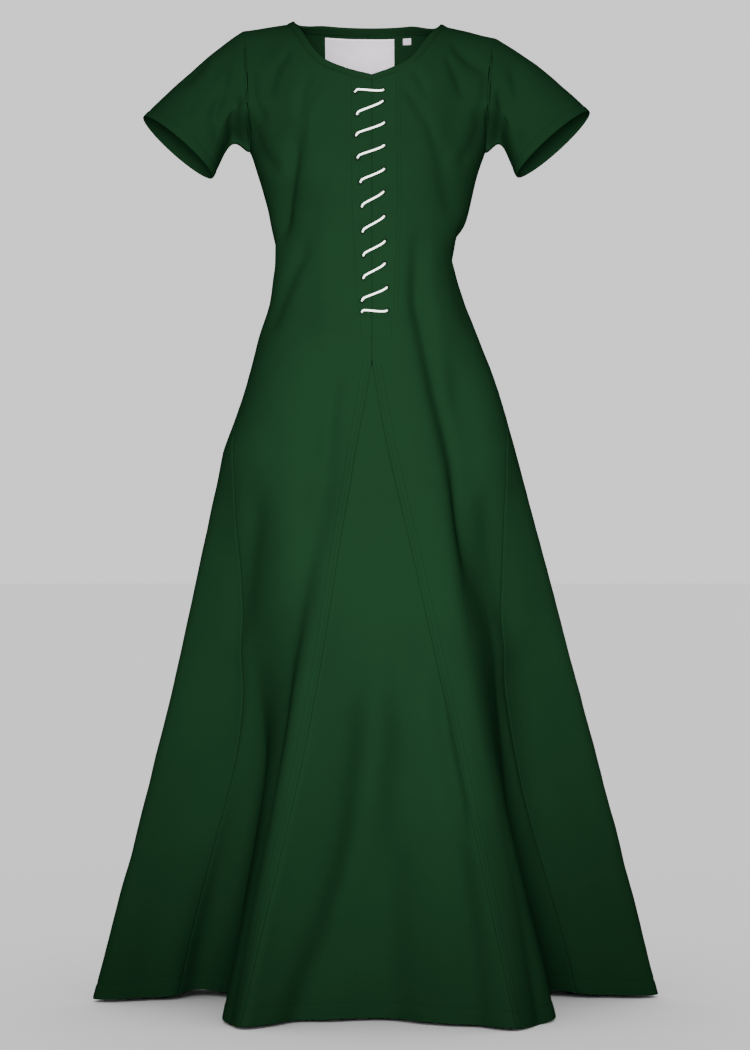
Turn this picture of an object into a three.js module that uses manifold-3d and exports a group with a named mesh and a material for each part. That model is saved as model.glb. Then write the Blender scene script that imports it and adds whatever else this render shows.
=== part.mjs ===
// A floor-length medieval gown of dark green cotton twill, laced at the front.
// Millimetres, +Z up. The front faces -Y, and the wearer's right is at -X.
// The origin is where the wearer's shoulders carry the gown.
// Each piece is a panel of cloth: a thin wall that follows one smooth surface.

import * as THREE from 'three';
import { mergeVertices } from 'three/addons/utils/BufferGeometryUtils.js';
import Module from 'manifold-3d';

const wasm = await Module();
wasm.setup();

// Driving dimensions
const WALL = 1.8;                // twill with its turned seam allowances
const BAND_WALL = 2.4;           // bias binding folded over the neck edge
const LABEL_WALL = 1;
const SEAM_INSET = 0.2;          // each piece stops this far from its seam line
const SLEEVE_GAP = 0.65;         // between the armhole seam line and the sleeve
const ARMPIT_Z = -170;
const BODICE_END_Z = -440;       // the last of the evenly spaced levels of the bodice
const SLIT_END_Z = -445;
const SLIT_CLOSING = 40;         // height over which the slit closes at its end
const GORE_APEX_Z = -477;
const SIDE_APEX_Z = -523;
const HIP_Z = -600;
const KNEE_Z = -944;
const HEM_Z = -1387;
const RING_POWER = 2.2;          // 2 is an ellipse, more is squarer
const SHOULDER_POWER = 2.3;
const CHEST_BLEND = 0.38;        // share of the armhole height in which the side rounds out
const CHEST_POWER = 2.4;         // more keeps the chest flat further out from its middle
const PAST_TIP = 1.1;            // the chest curve stops this far out, as a share of the tip's place
const NECK_RISE = 46;            // how far the surface would rise inside the neck hole
const NECK_LEVEL = 14;           // and the level it rises from
const BAND_WIDTH = 10;
const BAND_INSET = 0.28;         // between the band's inner edge and the line it is sewn along
const OPENING_GAP = 0.5;         // half the slit between the laced edges
const LACE_DIAMETER = 3.8;
const LACE_SIDES = 8;
const LACE_LIFT = 0.95;          // clear space between lace and cloth
const LACE_TURN = 3.2;           // how far from an eyelet the lace bends into it
const LACE_TAIL = [22, -6];      // x and z of each end past its eyelet, behind the front
const EYELET_DIAMETER = 7.4;
const EYELET_SIDES = 8;
const EYELET_DRILL = 30;         // length of the cylinder that cuts an eyelet
const GORE_TIP_CUT = 0.14;       // a gore's point is cut off at this share of its first row's height
const GORE_TIP_SPREAD = 0.3;     // half the width that its columns share at the apex
const LABEL_CLEARANCE = 0.6;     // between a label and the back panel

// Half girths of the bodice, by level
const BODY = [
  { z: -170, right: -176, left: 163, front: -122, back: 101 },
  { z: -209, right: -163, left: 150, front: -130, back: 98 },
  { z: -267, right: -147, left: 137, front: -113, back: 89 },
  { z: -324, right: -141, left: 119, front: -98, back: 87 },
  { z: -382, right: -146, left: 131, front: -104, back: 98 },
  { z: -440, right: -164, left: 154, front: -117, back: 114 },
  { z: -523, right: -186, left: 185, front: -129, back: 128 },
  { z: -600, right: -214, left: 207, front: -136, back: 136 },
];

// Lines that run down the skirt: seams, the crests of its folds and their valleys.
// angle and hip are the line's places round the ring of the bodice and of the hip, in degrees
// from the centre front, start the level where it leaves the first for the second, and knee
// and hem are its places at those two levels.
const RIGHT_LINES = [
  { name: 'gore_dip', angle: 0, hip: 2, start: GORE_APEX_Z, knee: [-34, -158], hem: [-75, -193] },
  { name: 'gore_seam', angle: 0, hip: 5, start: GORE_APEX_Z, knee: [-77, -174], hem: [-178, -243] },
  { name: 'crest', angle: 15, hip: 17, start: GORE_APEX_Z, knee: [-104, -171], hem: [-202, -212] },
  { name: 'valley', angle: 62, hip: 52, start: GORE_APEX_Z, knee: [-172, -64], hem: [-212, 8] },
  { name: 'side_front', angle: 90, hip: 67, start: SIDE_APEX_Z, knee: [-192, -48], hem: [-276, -3] },
  { name: 'flare', angle: 90, hip: 90, start: SIDE_APEX_Z, knee: [-290, 4], hem: [-403, -8] },
  { name: 'side_back', angle: 90, hip: 110, start: SIDE_APEX_Z, knee: [-228, 66], hem: [-304, 116] },
  { name: 'back_valley', angle: 118, hip: 125, start: SIDE_APEX_Z, knee: [-180, 98], hem: [-228, 122] },
  { name: 'back_crest', angle: 150, hip: 152, start: SIDE_APEX_Z, knee: [-126, 176], hem: [-176, 236] },
];
const LEFT_LINES = [
  { name: 'gore_dip', angle: 0, hip: 2, start: GORE_APEX_Z, knee: [44, -158], hem: [72, -203] },
  { name: 'gore_seam', angle: 0, hip: 5, start: GORE_APEX_Z, knee: [100, -175], hem: [196, -257] },
  { name: 'crest', angle: 15, hip: 17, start: GORE_APEX_Z, knee: [137, -168], hem: [241, -216] },
  { name: 'valley', angle: 62, hip: 52, start: GORE_APEX_Z, knee: [184, -60], hem: [250, 12] },
  { name: 'side_front', angle: 90, hip: 67, start: SIDE_APEX_Z, knee: [203, -46], hem: [296, 8] },
  { name: 'flare', angle: 90, hip: 90, start: SIDE_APEX_Z, knee: [300, 6], hem: [418, 34] },
  { name: 'side_back', angle: 90, hip: 110, start: SIDE_APEX_Z, knee: [236, 70], hem: [312, 138] },
  { name: 'back_valley', angle: 118, hip: 125, start: SIDE_APEX_Z, knee: [186, 102], hem: [240, 134] },
  { name: 'back_crest', angle: 150, hip: 152, start: SIDE_APEX_Z, knee: [134, 178], hem: [188, 242] },
];
const FRONT_MIDDLE = {
  name: 'front_middle', angle: 0, hip: 0, start: GORE_APEX_Z, knee: [6, -150], hem: [0, -171],
};
const BACK_MIDDLE = {
  name: 'back_middle', angle: 180, hip: 180, start: SIDE_APEX_Z, knee: [4, 160], hem: [6, 192],
};

// Columns of the wall between two lines, counted from the front
const STEPS = {
  gore_dip: 2, gore_seam: 3, crest: 2, valley: 5, side_front: 3,
  flare: 4, side_back: 4, back_valley: 3, back_crest: 5, back_middle: 4,
};
const SHOULDER_STEPS = 3;
const ARMHOLE_STEPS = 9;
const SLEEVE_RINGS = 7;
const BODICE_ROWS = 12;
const SKIRT_ROWS = 11;

// Shoulders and neck: neck is where the binding starts on the shoulder seam
const RIGHT_SHOULDER = { neck: [-112, 15], tip: [-186, 4] };
const LEFT_SHOULDER = { neck: [99, 11], tip: [179, -6] };
const NECK_FRONT = [
  { right: [0, -74], left: [0, -74] },
  { right: [-39, -63], left: [33, -61] },
  { right: [-69, -48], left: [56, -46] },
  { right: [-86, -28], left: [71, -26] },
  { right: [-102, 0], left: [88, -2] },
  { right: [-112, 15], left: [99, 11] },
];
const BACK_NECK_MIDDLE = [-4, 20];
const BACK_NECK_FLAT = 0.55;     // share of the back neck edge that runs flat
const BACK_NECK_TURN = 0.6;      // share at which the band starts to turn into the shoulder seam

const ARMHOLE_POWER = 1.4;       // how late the armhole seam swings out to the shoulder tip

// Chest and shoulder blades: depth at the middle and at the armhole
const CHEST = { front: [-116, -62], back: [101, 66] };

// Cuffs, seen from the front: upper and lower ends of the opening, half its depth,
// and how far the front edge is drawn back up the arm
const CUFFS = {
  right: { top: [-329, -120], bottom: [-229, -206], halfDepth: 50, lean: 9 },
  left: { top: [314, -112], bottom: [209, -204], halfDepth: 50, lean: 9 },
};
const SLEEVE_BULGE = 7;

// Eyelets from the neck down, x and z on the wearer's right and left edges
const EYELETS = [
  { right: [-23, -98], left: [16, -96] },
  { right: [-21, -131], left: [15, -112] },
  { right: [-22, -161], left: [17, -143] },
  { right: [-20, -193], left: [17, -175] },
  { right: [-16, -227], left: [17, -209] },
  { right: [-14, -260], left: [16, -240] },
  { right: [-13, -294], left: [17, -273] },
  { right: [-12, -327], left: [18, -307] },
  { right: [-12, -359], left: [18, -338] },
  { right: [-14, -391], left: [21, -372] },
  { right: [-14, -407], left: [21, -405] },
];

const LABELS = {
  neck_label: { left: 33, right: -69, top: 6, bottom: -52, columns: 6, rows: 4 },
  size_label: { left: 58, right: 46, top: 6, bottom: -3, columns: 1, rows: 1 },
};

const COLORS = { twill: 0x1f4429, binding: 0x1b3d24, lace: 0xe7ede3, label: 0xcdc9d4 };

// Small helpers
const mix = (a, b, t) => a + (b - a) * t;
const clamp01 = (t) => Math.min(1, Math.max(0, t));
const smooth = (t) => clamp01(t) ** 2 * (3 - 2 * clamp01(t));
const radians = (degrees) => degrees * Math.PI / 180;
const signedPower = (value, power) => Math.sign(value) * Math.abs(value) ** power;
const vector = (x, y, z) => new THREE.Vector3(x, y, z);
const range = (count) => Array.from({ length: count + 1 }, (_, i) => i / count);

// A smooth curve y(x) through points whose x rises; flat runs stay flat when steady is true
function curveThrough(xs, ys, steady = false) {
  const slopes = xs.slice(1).map((x, i) => (ys[i + 1] - ys[i]) / (x - xs[i]));
  const tangents = xs.map((_, i) => {
    if (i === 0) return slopes[0];
    if (i === xs.length - 1) return slopes[i - 1];
    const [before, after] = [slopes[i - 1], slopes[i]];
    if (steady) return before * after <= 0 ? 0 : 2 * before * after / (before + after);
    const [a, b] = [xs[i] - xs[i - 1], xs[i + 1] - xs[i]];
    return (before * b + after * a) / (a + b);
  });
  return (x) => {
    let i = xs.findIndex((edge) => edge > x) - 1;
    if (i < 0) i = x < xs[0] ? 0 : xs.length - 2;
    const span = xs[i + 1] - xs[i];
    const t = (x - xs[i]) / span;
    return ys[i] * (1 + 2 * t) * (1 - t) ** 2 + ys[i + 1] * t ** 2 * (3 - 2 * t)
      + span * (tangents[i] * t * (1 - t) ** 2 - tangents[i + 1] * t ** 2 * (1 - t));
  };
}

function column(rows, key, value) {
  const rising = [...rows].sort((a, b) => a[key] - b[key]);
  return curveThrough(rising.map((row) => row[key]), rising.map((row) => row[value]));
}

const body = {
  right: column(BODY, 'z', 'right'),
  left: column(BODY, 'z', 'left'),
  front: column(BODY, 'z', 'front'),
  back: column(BODY, 'z', 'back'),
};

// The plain ring of the bodice. Angle 0 is the centre front, 90 the wearer's right side,
// 180 the back and 270 the left side.
function bodyRing(angle, z) {
  const across = signedPower(Math.sin(radians(angle)), 2 / RING_POWER);
  const along = signedPower(Math.cos(radians(angle)), 2 / RING_POWER);
  const halfWidth = across > 0 ? -body.right(z) : body.left(z);
  const depth = along > 0 ? body.front(z) : -body.back(z);
  return vector(-across * halfWidth, along * depth, z);
}

// All the lines in order round the gown, from the centre front over the wearer's right
const mirrored = (line) => ({
  ...line, name: `${line.name}_left`, angle: 360 - line.angle, hip: 360 - line.hip,
});
const LINES = [
  FRONT_MIDDLE,
  ...RIGHT_LINES.map((line) => ({ ...line, name: `${line.name}_right` })),
  BACK_MIDDLE,
  ...LEFT_LINES.map(mirrored).reverse(),
  { ...FRONT_MIDDLE, name: 'front_middle_again', angle: 360, hip: 360 },
];

function lineAngle(line, z) {
  return mix(line.angle, line.hip, clamp01((line.start - z) / (line.start - HIP_Z)));
}

// Below the hip each line bends smoothly through its knee and hem places
function linePlace(line, z) {
  const hip = bodyRing(line.hip, HIP_Z);
  const levels = [HEM_Z, KNEE_Z, HIP_Z];
  const x = curveThrough(levels, [line.hem[0], line.knee[0], hip.x])(z);
  const y = curveThrough(levels, [line.hem[1], line.knee[1], hip.y])(z);
  return vector(x, y, z);
}

// Each line's distance round the hem is the coordinate that the panels are measured in
const AROUND = [0];
for (let i = 1; i < LINES.length; i += 1) {
  const [a, b] = [LINES[i - 1].hem, LINES[i].hem];
  AROUND.push(AROUND[i - 1] + Math.hypot(b[0] - a[0], b[1] - a[1]));
}
const GIRTH = AROUND[AROUND.length - 1];
const aroundOf = (name) => AROUND[LINES.findIndex((line) => line.name === name)];

const cache = new Map();
function kept(key, work) {
  if (!cache.has(key)) cache.set(key, work());
  return cache.get(key);
}

// The place round the ring, in degrees, of each place round the hem, at one level
const anglesAt = (z) => kept(`angles ${z}`, () => (
  curveThrough(AROUND, LINES.map((line) => lineAngle(line, z)), true)));

// How far the folds carry the cloth away from the plain ring at one level below the hip
const foldsAt = (z) => kept(`folds ${z}`, () => {
  const shifts = LINES.map((line) => linePlace(line, z).sub(bodyRing(line.hip, HIP_Z)));
  const wrap = [
    ...AROUND.slice(-3, -1).map((s) => s - GIRTH),
    ...AROUND,
    ...AROUND.slice(1, 3).map((s) => s + GIRTH),
  ];
  const wrapped = [...shifts.slice(-3, -1), ...shifts, ...shifts.slice(1, 3)];
  return {
    x: curveThrough(wrap, wrapped.map((shift) => shift.x), true),
    y: curveThrough(wrap, wrapped.map((shift) => shift.y), true),
  };
});

// The gown's surface below the armpits
function skirt(around, z) {
  const s = ((around % GIRTH) + GIRTH) % GIRTH;
  const place = bodyRing(anglesAt(z)(s), Math.max(z, HIP_Z));
  if (z < HIP_Z) {
    place.x += foldsAt(z).x(s);
    place.y += foldsAt(z).y(s);
  }
  return place.setZ(z);
}

// The gown's surface above the armpits. Lift is 0 at the armpit, 90 on the shoulder seam
// and 180 at the armpit behind.
function shoulderLine(x) {
  const side = x < 0 ? RIGHT_SHOULDER : LEFT_SHOULDER;
  const [near, far] = [side.neck, side.tip];
  const seam = near[1] + (far[1] - near[1]) * (x - near[0]) / (far[0] - near[0]);
  const inside = 1 - Math.min(1, Math.abs(x / near[0])) ** 2;
  return mix(seam, Math.min(seam, NECK_LEVEL), inside) + NECK_RISE * inside ** 2;
}

function upperDepth(x, rise, isFront) {
  const halfWidth = x < 0 ? -body.right(ARMPIT_Z) : body.left(ARMPIT_Z);
  const ringDepth = isFront ? body.front(ARMPIT_Z) : body.back(ARMPIT_Z);
  const share = Math.min(1, Math.abs(x) / halfWidth);
  const ring = ringDepth * (1 - share ** RING_POWER) ** (1 / RING_POWER);
  const [middle, armhole] = isFront ? CHEST.front : CHEST.back;
  const tip = Math.abs((x < 0 ? RIGHT_SHOULDER : LEFT_SHOULDER).tip[0]);
  const chest = mix(middle, armhole, Math.min(PAST_TIP, Math.abs(x) / tip) ** CHEST_POWER);
  return mix(ring, chest, smooth(rise / CHEST_BLEND));
}

function upper(x, lift) {
  const rise = signedPower(Math.sin(radians(lift)), 2 / SHOULDER_POWER);
  const flat = Math.abs(Math.cos(radians(lift))) ** (2 / SHOULDER_POWER);
  return vector(x, upperDepth(x, rise, lift < 90) * flat, mix(ARMPIT_Z, shoulderLine(x), rise));
}

function liftOf(x, z, isFront) {
  const rise = clamp01((z - ARMPIT_Z) / (shoulderLine(x) - ARMPIT_Z));
  const lift = Math.asin(rise ** (SHOULDER_POWER / 2)) * 180 / Math.PI;
  return isFront ? lift : 180 - lift;
}

// Above its apex a gore has no width: all its places round the gown are one seam
const GORE_SPANS = [
  { first: aroundOf('gore_seam_left') - GIRTH, last: aroundOf('gore_seam_right'), apex: GORE_APEX_Z },
  { first: aroundOf('side_front_right'), last: aroundOf('side_back_right'), apex: SIDE_APEX_Z },
  {
    first: aroundOf('side_back_left') - GIRTH,
    last: aroundOf('side_front_left') - GIRTH,
    apex: SIDE_APEX_Z,
  },
];

// Outward directions of the surfaces, from points close by
const SKIRT_STEP = 10;
const UPPER_STEP = 3;
const ANGLE_STEP = 2;

function skirtNormal(around, z) {
  const centred = around > GIRTH / 2 ? around - GIRTH : around;
  const seamSpan = GORE_SPANS.find((span) => (
    z >= span.apex && centred >= span.first && centred <= span.last));
  const before = (seamSpan ? seamSpan.first : centred) - SKIRT_STEP;
  const after = (seamSpan ? seamSpan.last : centred) + SKIRT_STEP;
  const across = skirt(after, z).sub(skirt(before, z));
  const down = skirt(around, z - SKIRT_STEP).sub(skirt(around, z + SKIRT_STEP));
  return across.cross(down).normalize();
}

function upperNormal(x, lift) {
  const across = upper(x - UPPER_STEP, lift).sub(upper(x + UPPER_STEP, lift));
  const higher = upper(x, Math.min(180 - ANGLE_STEP, lift + ANGLE_STEP));
  const lower = upper(x, Math.max(ANGLE_STEP, lift - ANGLE_STEP));
  return higher.sub(lower).cross(across).normalize();
}

function ringNormal(angle) {
  const across = bodyRing(angle + ANGLE_STEP, ARMPIT_Z).sub(bodyRing(angle - ANGLE_STEP, ARMPIT_Z));
  return across.cross(vector(0, 0, -1)).normalize();
}

// A point of a panel's wall with its outward direction
const onSkirt = (around, z) => ({ place: skirt(around, z), out: skirtNormal(around, z) });
const onUpper = (x, lift) => ({ place: upper(x, lift), out: upperNormal(x, lift) });

// Levels of the rows from the armpits down
const LEVELS = [
  ...range(BODICE_ROWS).map((t) => mix(ARMPIT_Z, BODICE_END_Z, t)),
  GORE_APEX_Z,
  SIDE_APEX_Z,
  (SIDE_APEX_Z + HIP_Z) / 2,
  ...range(SKIRT_ROWS).map((t) => mix(HIP_Z, HEM_Z, t)),
];

// Places round the gown of the wall's columns between two lines, going round by the right
function columnsBetween(first, last) {
  const from = LINES.findIndex((line) => line.name === first);
  const to = LINES.findIndex((line) => line.name === last);
  const middle = LINES.indexOf(BACK_MIDDLE);
  const places = [AROUND[from]];
  for (let i = from + 1; i <= to; i += 1) {
    const further = LINES[i <= middle ? i : i - 1];
    const steps = STEPS[further.name.replace(/_(right|left)$/, '')];
    places.push(...range(steps).slice(1).map((t) => mix(AROUND[i - 1], AROUND[i], t)));
  }
  return places;
}

// The armhole seam and the sleeve that is set into it
function armholePoint(side, share, isFront) {
  const underarm = bodyRing(side === 'right' ? 90 : 270, ARMPIT_Z);
  if (share === 0) return underarm;
  const tip = (side === 'right' ? RIGHT_SHOULDER : LEFT_SHOULDER).tip[0];
  return upper(mix(underarm.x, tip, share ** ARMHOLE_POWER), isFront ? share * 90 : 180 - share * 90);
}

// Turn is the place round the armhole: 0 is the underarm, 0.5 the shoulder tip, and the first
// half runs up the front
function armholeLoop(side, turn) {
  const isFront = turn <= 0.5;
  return armholePoint(side, isFront ? turn * 2 : (1 - turn) * 2, isFront);
}

function cuffLoop(side, turn) {
  const cuff = CUFFS[side];
  const top = vector(cuff.top[0], 0, cuff.top[1]);
  const bottom = vector(cuff.bottom[0], 0, cuff.bottom[1]);
  const middle = top.clone().add(bottom).multiplyScalar(0.5);
  const half = top.clone().sub(bottom).multiplyScalar(0.5);
  const upArm = vector(0, 1, 0).cross(half).normalize().multiplyScalar(side === 'right' ? 1 : -1);
  const angle = turn * 2 * Math.PI;
  const forward = Math.sin(angle);
  return middle
    .addScaledVector(half, -Math.cos(angle))
    .addScaledVector(vector(0, -1, 0), forward * cuff.halfDepth)
    .addScaledVector(upArm, forward * cuff.lean);
}

function sleeve(side, turn, along) {
  const loop = ((turn % 1) + 1) % 1;
  const start = armholeLoop(side, loop);
  const end = cuffLoop(side, loop);
  const place = start.lerp(end, along);
  const bulge = SLEEVE_BULGE * 4 * along * (1 - along) * (0.5 - 0.5 * Math.cos(loop * 2 * Math.PI));
  place.z += bulge;
  return place;
}

function sleeveNormal(side, turn, along) {
  const step = 0.02;
  const round = sleeve(side, turn + step, along).sub(sleeve(side, turn - step, along));
  const [near, far] = [Math.max(0, along - step), Math.min(1, along + step)];
  const down = sleeve(side, turn, far).sub(sleeve(side, turn, near));
  const out = round.cross(down).normalize();
  return side === 'right' ? out : out.negate();
}

// Outward direction on the armhole seam, shared by the panel and the sleeve as a mitre
function armholeNormal(side, share, isFront) {
  const turn = isFront ? share / 2 : 1 - share / 2;
  const place = armholePoint(side, share, isFront);
  const panel = share === 0
    ? bodyRing(side === 'right' ? 90 : 270, ARMPIT_Z).setZ(0).normalize()
    : upperNormal(place.x, isFront ? share * 90 : 180 - share * 90);
  return panel.add(sleeveNormal(side, turn, 0)).normalize();
}

// The neck: its edge, and the line where the binding is sewn to the panels
function neckFrontCurve(side) {
  const points = NECK_FRONT.map((row) => vector(row[side][0], 0, row[side][1]));
  return new THREE.CatmullRomCurve3(points, false, 'centripetal');
}

// A point of the neck edge, moved into the panel by a distance along the surface
function neckPoint(side, isFront, share, inward) {
  const outward = side === 'right' ? -1 : 1;
  const shoulder = side === 'right' ? RIGHT_SHOULDER : LEFT_SHOULDER;
  let edge;
  let normal;
  if (isFront) {
    const curve = neckFrontCurve(side);
    edge = curve.getPointAt(share);
    const tangent = curve.getTangentAt(share);
    normal = vector(outward * Math.abs(tangent.z), 0, -Math.abs(tangent.x));
    if (share === 0) normal.set(0, 0, -1);
    if (share === 1) normal.set(outward, 0, 0);
  } else {
    const across = mix(BACK_NECK_MIDDLE[0], shoulder.neck[0], share);
    const drop = smooth((share - BACK_NECK_FLAT) / (1 - BACK_NECK_FLAT));
    edge = vector(across, 0, mix(BACK_NECK_MIDDLE[1], shoulder.neck[1], drop));
    const bend = smooth((share - BACK_NECK_TURN) / (1 - BACK_NECK_TURN));
    normal = vector(outward * bend, 0, bend - 1).normalize();
  }
  const x = edge.x + normal.x * inward;
  const z = share === 1 ? shoulderLine(x) : edge.z + normal.z * inward;
  return [x, z];
}

// The upper part of one half panel, as rows of columns from the middle to the armhole.
// The patch is stretched between the armpit level, the middle, the neck and shoulder, and the
// armhole.
function upperRows(side, isFront, columnAngles) {
  const count = columnAngles.length - 1;
  const neckSteps = count - SHOULDER_STEPS;
  const shoulder = side === 'right' ? RIGHT_SHOULDER : LEFT_SHOULDER;
  const bottom = columnAngles.map((angle) => {
    const ring = bodyRing(angle, ARMPIT_Z);
    return [ring.x, ring.z];
  });
  const top = columnAngles.map((_, i) => {
    if (i <= neckSteps) return neckPoint(side, isFront, i / neckSteps, BAND_WIDTH);
    const start = neckPoint(side, isFront, 1, BAND_WIDTH);
    const x = mix(start[0], shoulder.tip[0], (i - neckSteps) / SHOULDER_STEPS);
    return [x, shoulderLine(x)];
  });
  return range(ARMHOLE_STEPS).map((up, row) => {
    const armhole = armholePoint(side, up, isFront);
    const inner = [mix(bottom[0][0], top[0][0], up), mix(bottom[0][1], top[0][1], up)];
    return columnAngles.map((angle, i) => {
      const f = i / count;
      const blend = (k, outer) => mix(bottom[i][k], top[i][k], up) + mix(inner[k], outer, f)
        - mix(mix(bottom[0][k], top[0][k], up), mix(bottom[count][k], top[count][k], up), f);
      if (i === count) return { place: armhole, out: armholeNormal(side, up, isFront) };
      if (row === 0) return { place: bodyRing(angle, ARMPIT_Z), out: ringNormal(angle) };
      const x = blend(0, armhole.x);
      const onSeam = row === ARMHOLE_STEPS && i >= neckSteps;
      const lift = onSeam ? 90 : liftOf(x, blend(1, armhole.z), isFront);
      return onUpper(x, lift);
    });
  });
}

// Turns rows of wall points into one closed mesh: outer face, inner face and the edges between
function wallGeometry(rows, thickness, closed = false) {
  const rowCount = rows.length;
  const columnCount = rows[0].length;
  const positions = [];
  const index = [];
  for (const depth of [0, thickness]) {
    for (const row of rows) {
      for (const point of row) {
        positions.push(...point.place.clone().addScaledVector(point.out, -depth).toArray());
      }
    }
  }
  const inner = rowCount * columnCount;
  const at = (r, c) => r * columnCount + (closed ? c % columnCount : c);
  const quad = (a, b, c, d) => index.push(a, b, c, a, c, d);
  const lastColumn = closed ? columnCount : columnCount - 1;
  for (let r = 0; r < rowCount - 1; r += 1) {
    for (let c = 0; c < lastColumn; c += 1) {
      quad(at(r, c), at(r + 1, c), at(r + 1, c + 1), at(r, c + 1));
      quad(inner + at(r, c), inner + at(r, c + 1), inner + at(r + 1, c + 1), inner + at(r + 1, c));
    }
  }
  for (let c = 0; c < lastColumn; c += 1) {
    quad(at(0, c), at(0, c + 1), inner + at(0, c + 1), inner + at(0, c));
    const r = rowCount - 1;
    quad(at(r, c + 1), at(r, c), inner + at(r, c), inner + at(r, c + 1));
  }
  if (!closed) {
    for (let r = 0; r < rowCount - 1; r += 1) {
      quad(at(r + 1, 0), at(r, 0), inner + at(r, 0), inner + at(r + 1, 0));
      const c = columnCount - 1;
      quad(at(r, c), at(r + 1, c), inner + at(r + 1, c), inner + at(r, c));
    }
  }
  const geometry = new THREE.BufferGeometry();
  geometry.setAttribute('position', new THREE.Float32BufferAttribute(positions, 3));
  geometry.setIndex(index);
  return facingOut(geometry);
}

// Turns a closed mesh's faces outward when it was wound the other way
function facingOut(geometry) {
  const p = geometry.attributes.position;
  const index = geometry.index.array;
  const corner = (i) => vector(p.getX(index[i]), p.getY(index[i]), p.getZ(index[i]));
  let volume = 0;
  for (let i = 0; i < index.length; i += 3) {
    volume += corner(i).dot(corner(i + 1).cross(corner(i + 2)));
  }
  if (volume < 0) {
    for (let i = 0; i < index.length; i += 3) {
      [index[i + 1], index[i + 2]] = [index[i + 2], index[i + 1]];
    }
  }
  geometry.computeVertexNormals();
  return geometry;
}

// Draws the edges of a panel back from its seams
function insetEdges(rows, amounts) {
  const moved = rows.map((row) => row.map((point) => ({ place: point.place.clone(), out: point.out })));
  const pull = (target, from, to, amount) => {
    const direction = to.place.clone().sub(from.place).normalize();
    target.place.addScaledVector(direction, amount);
  };
  const last = rows.length - 1;
  rows.forEach((row, r) => {
    const end = row.length - 1;
    pull(moved[r][0], row[0], row[1], amounts.first(row[0].place.z));
    pull(moved[r][end], row[end], row[end - 1], amounts.last(row[end].place.z));
  });
  rows[0].forEach((point, c) => pull(moved[0][c], point, rows[1][c], amounts.top));
  rows[last].forEach((point, c) => pull(moved[last][c], point, rows[last - 1][c], amounts.bottom));
  return moved;
}

const seam = () => SEAM_INSET;

// The laced edges stand a little apart down to the end of the slit, and make room for the
// gore's point at its apex
function slit(z) {
  const closed = smooth((SLIT_END_Z + SLIT_CLOSING - z) / SLIT_CLOSING);
  const forPoint = z === GORE_APEX_Z ? SEAM_INSET * 2 : 0;
  return mix(OPENING_GAP, SEAM_INSET, closed) + forPoint;
}

function frontPanel(side) {
  const isRight = side === 'right';
  const around = isRight
    ? columnsBetween('gore_seam_right', 'side_front_right')
    : columnsBetween('side_front_left', 'gore_seam_left').reverse();
  const angles = around.map((s) => anglesAt(ARMPIT_Z)(s));
  const lower = LEVELS.slice(1).map((z) => around.map((s) => onSkirt(s, z)));
  const rows = [...upperRows(side, true, angles).reverse(), ...lower];
  const inset = insetEdges(rows, { first: slit, last: seam, top: SEAM_INSET, bottom: 0 });
  return wallGeometry(inset, WALL);
}

function backPanel() {
  const around = columnsBetween('side_back_right', 'side_back_left');
  const half = (around.length - 1) / 2;
  const rightAngles = around.slice(0, half + 1).map((s) => anglesAt(ARMPIT_Z)(s)).reverse();
  const leftAngles = around.slice(half).map((s) => anglesAt(ARMPIT_Z)(s));
  const right = upperRows('right', false, rightAngles);
  const left = upperRows('left', false, leftAngles);
  const joined = right.map((row, r) => [...row.slice(1).reverse(), ...left[r]]);
  const lower = LEVELS.slice(1).map((z) => around.map((s) => onSkirt(s, z)));
  const rows = [...joined.reverse(), ...lower];
  return wallGeometry(insetEdges(rows, { first: seam, last: seam, top: SEAM_INSET, bottom: 0 }), WALL);
}

// A gore is a long triangle with its point cut off
function gorePanel(around, apex) {
  const rows = LEVELS.filter((z) => z <= apex).map((z) => around.map((s) => onSkirt(s, z)));
  const tip = rows[0];
  const middle = (tip.length - 1) / 2;
  const centre = tip[middle].place.clone();
  const spread = rows[1][0].place.clone().sub(rows[1][tip.length - 1].place).setZ(0).normalize();
  tip.forEach((point, c) => {
    point.place = centre.clone().addScaledVector(spread, GORE_TIP_SPREAD * (1 - c / middle));
    point.out = tip[middle].out;
  });
  const inset = insetEdges(rows, { first: seam, last: seam, top: 0, bottom: 0 });
  inset[0].forEach((point, c) => {
    point.place.lerpVectors(rows[0][c].place, rows[1][c].place, GORE_TIP_CUT);
    point.place.addScaledVector(spread, -2 * SEAM_INSET * (1 - c / middle));
    point.out = rows[0][c].out.clone().lerp(rows[1][c].out, GORE_TIP_CUT).normalize();
  });
  return wallGeometry(inset, WALL);
}

function frontGore() {
  const right = columnsBetween('front_middle', 'gore_seam_right').reverse();
  const left = columnsBetween('gore_seam_left', 'front_middle_again').reverse();
  return gorePanel([...right, ...left.slice(1)], GORE_APEX_Z);
}

function sideGore(side) {
  const around = side === 'right'
    ? columnsBetween('side_front_right', 'side_back_right')
    : columnsBetween('side_back_left', 'side_front_left');
  return gorePanel(around, SIDE_APEX_Z);
}

function sleeveTube(side) {
  const turns = range(ARMHOLE_STEPS * 2).slice(0, -1);
  const rows = range(SLEEVE_RINGS).map((along) => turns.map((turn) => {
    const isFront = turn <= 0.5;
    const share = isFront ? turn * 2 : (1 - turn) * 2;
    const out = along === 0 ? armholeNormal(side, share, isFront) : sleeveNormal(side, turn, along);
    return { place: sleeve(side, turn, along), out };
  }));
  rows[0].forEach((point, c) => {
    const down = rows[1][c].place.clone().sub(point.place);
    const across = down.addScaledVector(point.out, -down.dot(point.out)).normalize();
    point.place.addScaledVector(across, SLEEVE_GAP);
  });
  return wallGeometry(rows, WALL, true);
}

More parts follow.
